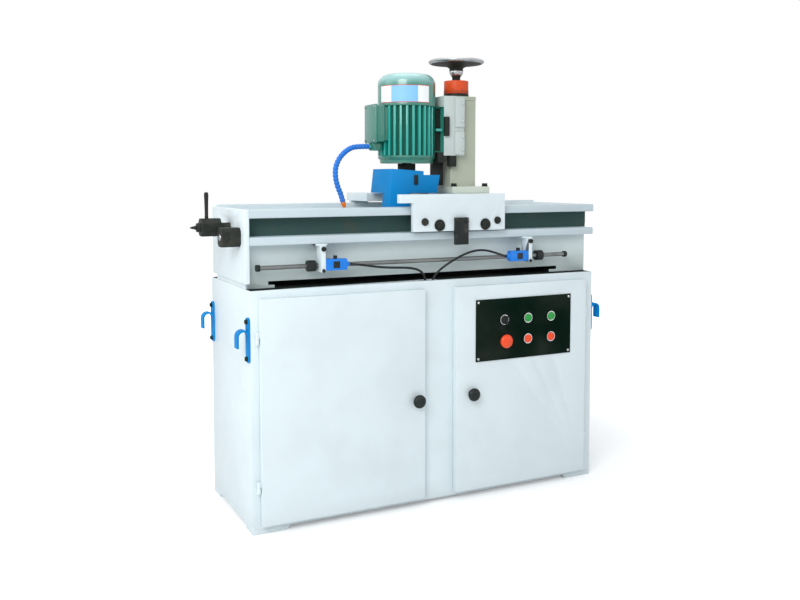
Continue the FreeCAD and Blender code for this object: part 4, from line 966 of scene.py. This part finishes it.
def make_fan_cover():
    bm = bmesh.new()
    lathe(bm, COVER, COVER_FOOT, UP, steps=64)
    outward(bm)

    def way_to(face):
        return from_cover_axis(face.calc_center_median())
    ring = [f for f in bm.faces if SLOTS_INNER < way_to(f).length < SLOTS_OUTER]
    ring.sort(key=lambda f: math.atan2(way_to(f).y, way_to(f).x))
    slots = ring[::2]
    bmesh.ops.delete(bm, geom=slots, context="FACES_ONLY")
    bmesh.ops.solidify(bm, geom=bm.faces[:], thickness=COVER_SHEET)
    keep("fan_cowl", bm, "head", COWL_GREEN_PAINTED_HIGHLIGHT, "fan_cover", smooth=40.0)


# Plate bent round the cover: angles in degrees from the direction it faces, heights above the cover's foot
BAND_FACING = (-1.19, -2.331, 0.0)
BAND_RADIUS = 0.0843
BAND_SHEET = 0.0007
BAND_HEIGHTS = (0.0005, 0.0021, 0.0474, 0.049)
BAND_START = -59.0
BAND_SPAN = 108.0
BLUE_START = -32.0
BLUE_END = 22.0


# White ends, blue middle and red borders
def make_band():
    bm = bmesh.new()
    facing = Vector(BAND_FACING).normalized()
    start = Matrix.Rotation(math.radians(BAND_START), 3, "Z") @ facing
    edge = Vector(COVER_FOOT) + start * BAND_RADIUS
    verts = [bm.verts.new(edge + Vector((0, 0, z))) for z in BAND_HEIGHTS]
    edges = [bm.edges.new(pair) for pair in zip(verts, verts[1:])]
    bmesh.ops.spin(bm, geom=verts + edges, cent=COVER_FOOT, axis=UP, angle=math.radians(BAND_SPAN), steps=54)
    bmesh.ops.recalc_face_normals(bm, faces=bm.faces)
    bmesh.ops.solidify(bm, geom=bm.faces[:], thickness=BAND_SHEET)
    band = keep("cowl_band", bm, "head", [BAND_WHITE, BAND_BLUE, RED_EDGE])
    side = Vector((-facing.y, facing.x, 0.0))

    def slot(c):
        way = c - Vector(COVER_FOOT)
        if way.z < BAND_HEIGHTS[1] or way.z > BAND_HEIGHTS[2]:
            return 2
        angle = math.degrees(math.atan2(way.dot(side), way.dot(facing)))
        return 1 if BLUE_START < angle < BLUE_END else 0
    repaint(band, slot)


# Broad cooling fins round the motor, left out on the side of its foot, and a rib across the hollow foot, in
# a lighter green that is painted light on the ridges
FIN_COUNT = 28
FOOT_COSINE = 0.7
FIN_LOW = (0.0740, -0.0036, 0.9985)
FIN_HIGH = (0.0834, 0.0036, 1.1400)
FOOT_RIB = ((0.0270, -0.1315, 1.0700), (0.0470, -0.1180, 1.0770))


def make_fins():
    bm = bmesh.new()
    axis = Matrix.Translation((COVER_FOOT[0], COVER_FOOT[1], 0.0))
    for i in range(FIN_COUNT):
        angle = math.tau * i / FIN_COUNT
        if math.cos(angle) < FOOT_COSINE:
            fin = box(bm, FIN_LOW, FIN_HIGH)
            bmesh.ops.transform(bm, matrix=axis @ Matrix.Rotation(angle, 4, "Z"), verts=fin)
    round_edges(bm, radius=0.0016)
    box(bm, *FOOT_RIB)
    # Fins and the rib take the lighter green, painted light on the ridges
    keep("cooling_fins", bm, "head", FIN_GREEN_PAINTED_LIGHT)


# Hollow in the foot's front, with the box that holds its faces painted in shade, and painted shade on the
# skin between the fins
FACING_FRONT = -0.99
FOOT_LEFT = 0.02
HOLLOW_BORDER = 0.0062
HOLLOW_DEPTH = 0.0130
HOLLOW_LOW = (0.027, -0.1300, 1.013)
HOLLOW_HIGH = (0.047, -0.1180, 1.136)
FIN_ROOT = 0.0770
ROOT_LOW = 1.009
ROOT_HIGH = 1.1405


def make_frame():
    bm = solid_of("motor_frame")
    fronts = [f for f in bm.faces if f.normal.y < FACING_FRONT and f.calc_center_median().x > FOOT_LEFT]
    front = max(fronts, key=lambda f: f.calc_area())
    bmesh.ops.inset_individual(bm, faces=[front], thickness=HOLLOW_BORDER, depth=-HOLLOW_DEPTH)
    round_edges(bm, radius=0.0008)
    casing = keep("motor_frame_finished", bm, "head", [MOTOR_GREEN, ROOT_PAINTED_SHADE, SHADE], "motor_frame")

    def slot(c):
        if all(low < at < high for low, at, high in zip(HOLLOW_LOW, c, HOLLOW_HIGH)):
            return 2
        # Skin between the fins takes the darker green, painted shade
        root = from_cover_axis(c).length < FIN_ROOT and ROOT_LOW < c.z < ROOT_HIGH
        return 1 if root and c.x < FOOT_LEFT else 0
    repaint(casing, slot)


# Terminal box lid with its screws, and the rounded ring at the motor's lower end
TERMINAL_LID = ((-0.1555, -0.108, 1.034), (-0.148, -0.032, 1.144))
TERMINAL_SCREWS_X = -0.1555
TERMINAL_SCREWS_Y = (-0.101, -0.039)
TERMINAL_SCREWS_Z = (1.041, 1.137)
END_BELL = [(0.0785, 0.019), (0.0825, 0.0185), (0.0842, 0.0150), (0.0825, 0.0110), (0.0790, 0.0080),
            (0.0755, -0.0030), (0.0700, -0.0006), (0.0700, 0.019), (0.0785, 0.019)]
END_BELL_BASE = (-0.038, -0.070, 0.9805)


def make_motor():
    make_frame()
    make_fins()
    make_fan_cover()
    make_band()
    dress("terminal_box", MOTOR_GREEN, radius=0.0050, segments=4)
    bm = bmesh.new()
    box(bm, *TERMINAL_LID)
    round_edges(bm, radius=0.0030, segments=3)
    keep("terminal_lid", bm, "head", MOTOR_GREEN)
    bm = bmesh.new()
    for y in TERMINAL_SCREWS_Y:
        for z in TERMINAL_SCREWS_Z:
            hex_bolt(bm, (TERMINAL_SCREWS_X, y, z), LEFT, across=0.0050, height=0.0026)
    outward(bm)
    keep("lid_screws", bm, "head", TURNED)
    turn_piece("end_bell", END_BELL, END_BELL_BASE, UP, "head", MOTOR_GREEN, steps=64, smooth=40.0)


# Slide with two gib strips, their bolts and three dark clamp blocks
GIB_SPANS = ((1.0030, 1.0700), (1.0830, 1.1690))
GIB_LEFT = 0.0870
GIB_RIGHT = 0.1180
GIB_FRONT = -0.1385
GIB_BACK = -0.1330
GIB_BOLTS_X = 0.1100
GIB_BOLTS_Z = (1.0180, 1.0550, 1.1000, 1.1520)
CLAMP_BLOCKS = (((0.0510, -0.1420, 1.0560), (0.0660, -0.1300, 1.1120)),
                ((0.0720, -0.1335, 0.9680), (0.0940, -0.1140, 1.0010)),
                ((0.0340, -0.1310, 0.9790), (0.0530, -0.1110, 1.0100)))


def make_slide():
    dress("head_slide", OFF_WHITE, radius=0.0025, segments=3)
    bm = bmesh.new()
    for low, high in GIB_SPANS:
        box(bm, (GIB_LEFT, GIB_FRONT, low), (GIB_RIGHT, GIB_BACK, high))
    round_edges(bm, radius=0.0012)
    for z in GIB_BOLTS_Z:
        hex_bolt(bm, (GIB_BOLTS_X, GIB_FRONT, z), FRONT, across=0.0080, height=0.0045)
    outward(bm)
    keep("gib_strips", bm, "head", OFF_WHITE)
    bm = bmesh.new()
    for low, high in CLAMP_BLOCKS:
        box(bm, low, high)
    round_edges(bm, radius=0.0020, segments=3)
    keep("slide_clamps", bm, "head", DARK_STEEL)


# Wheel guard: how far each edge moves, and the length over which it does so
END_LEAN = 0.013
END_FOOT = 0.848
END_RISE = 0.114
END_INNER = -0.120
TOP_SLOPE = 0.007
SLOPE_START = -0.128
SLOPE_RUN = 0.112
SLOPE_ABOVE = 0.955
RIGHT_SLANT = 0.009
RIGHT_EDGE = 0.030
RIGHT_EDGE_BELOW = 0.9


# Folded sheet with a leaning end, sloped top and a slanted right edge
def make_guard():
    bm = solid_of("wheel_guard")
    for v in bm.verts:
        if v.co.x < END_INNER:
            v.co.x += END_LEAN * (v.co.z - END_FOOT) / END_RISE
        if v.co.z > SLOPE_ABOVE:
            v.co.z -= TOP_SLOPE * (v.co.x - SLOPE_START) / SLOPE_RUN
        if v.co.x > RIGHT_EDGE and v.co.z < RIGHT_EDGE_BELOW:
            v.co.x -= RIGHT_SLANT
    round_edges(bm, radius=0.0011)
    keep("folded_guard", bm, "head", SKY_BLUE, "wheel_guard")
    dress("guard_arm", DARK_STEEL, radius=0.0015)


SHAFT_DARK_BELOW = 0.980


def make_spindle():
    shaft = dress("spindle", [TURNED, DARK_STEEL], radius=0.0010)
    repaint(shaft, lambda c: 1 if c.z < SHAFT_DARK_BELOW else 0)
    dress("motor_fan", BLACK, radius=0.0008)
    dress("grinding_wheel", GRIT, radius=0.0012)


make_handwheel()
make_motor()
make_slide()
make_guard()
make_spindle()

# Pale floor that brightens to white away from the machine, white surroundings and soft lamps
FLOOR_SIZE = 12.0
FLOOR_COLOUR = (0.93, 0.93, 0.93, 1)
FLOOR_ROUGHNESS = 0.9
LIFT_NEAR = 0.2
LIFT_FAR = 1.0
LIFT_START = 0.8
LIFT_END = 2.0
SKY_COLOUR = (0.92, 0.96, 1.0, 1)
SKY_STRENGTH = 0.55
SEEN_COLOUR = (1, 1, 1, 1)
SEEN_STRENGTH = 1.0

# Each lamp: name, place, aim, size and watts
LAMPS = (("key", (-2.3, -2.4, 2.5), (-0.1, 0.0, 0.6), 2.2, 79.0),
         ("fill", (2.6, -3.0, 1.8), (0.0, 0.0, 0.6), 3.0, 10.0),
         ("side", (-3.4, 0.6, 1.5), (-0.3, 0.0, 0.6), 2.4, 21.0),
         ("top", (0.3, 0.4, 3.6), (0.0, 0.0, 0.8), 2.5, 26.0))


# The floor glows only for the camera, so the glow lights nothing
def floor_finish():
    material = bpy.data.materials.new("floor_white")
    material.use_nodes = True
    tree = material.node_tree
    shader = tree.nodes["Principled BSDF"]
    shader.inputs["Base Color"].default_value = FLOOR_COLOUR
    shader.inputs["Roughness"].default_value = FLOOR_ROUGHNESS
    shader.inputs["Specular IOR Level"].default_value = 0.0
    glow = tree.nodes.new("ShaderNodeEmission")
    rays = tree.nodes.new("ShaderNodeLightPath")
    reach = tree.nodes.new("ShaderNodeVectorMath")
    reach.operation = "LENGTH"
    tree.links.new(object_place(tree), reach.inputs[0])
    lift = add_range(tree, reach.outputs["Value"], LIFT_START, LIFT_END, LIFT_NEAR, LIFT_FAR)
    strength = add_maths(tree, "MULTIPLY", rays.outputs["Is Camera Ray"], lift)
    tree.links.new(strength, glow.inputs["Strength"])
    both = tree.nodes.new("ShaderNodeAddShader")
    tree.links.new(shader.outputs[0], both.inputs[0])
    tree.links.new(glow.outputs[0], both.inputs[1])
    tree.links.new(both.outputs[0], tree.nodes["Material Output"].inputs["Surface"])
    return material


def make_stage():
    bm = bmesh.new()
    bmesh.ops.create_grid(bm, x_segments=1, y_segments=1, size=FLOOR_SIZE)
    mesh = bpy.data.meshes.new("floor")
    bm.to_mesh(mesh)
    bm.free()
    floor = bpy.data.objects.new("floor", mesh)
    scene.collection.objects.link(floor)
    mesh.materials.append(floor_finish())


def make_lamp(name, place, aim, size, watts):
    data = bpy.data.lights.new(name, "AREA")
    data.shape = "DISK"
    data.size = size
    data.energy = watts
    lamp = bpy.data.objects.new(name, data)
    lamp.location = place
    lamp.rotation_euler = (Vector(aim) - Vector(place)).to_track_quat("-Z", "Y").to_euler()
    scene.collection.objects.link(lamp)


# The camera and reflections see plain white, while a bluish sky gives the light
def make_world():
    world = bpy.data.worlds.new("studio")
    scene.world = world
    world.use_nodes = True
    tree = world.node_tree
    sky = tree.nodes["Background"]
    sky.inputs["Color"].default_value = SKY_COLOUR
    sky.inputs["Strength"].default_value = SKY_STRENGTH
    seen = tree.nodes.new("ShaderNodeBackground")
    seen.inputs["Color"].default_value = SEEN_COLOUR
    seen.inputs["Strength"].default_value = SEEN_STRENGTH
    rays = tree.nodes.new("ShaderNodeLightPath")
    either = add_maths(tree, "MAXIMUM", rays.outputs["Is Camera Ray"], rays.outputs["Is Glossy Ray"])
    either = add_maths(tree, "MAXIMUM", either, rays.outputs["Is Transmission Ray"])
    mix = tree.nodes.new("ShaderNodeMixShader")
    tree.links.new(either, mix.inputs[0])
    tree.links.new(sky.outputs[0], mix.inputs[1])
    tree.links.new(seen.outputs[0], mix.inputs[2])
    tree.links.new(mix.outputs[0], tree.nodes["World Output"].inputs["Surface"])


make_stage()
make_world()
for lamp in LAMPS:
    make_lamp(*lamp)
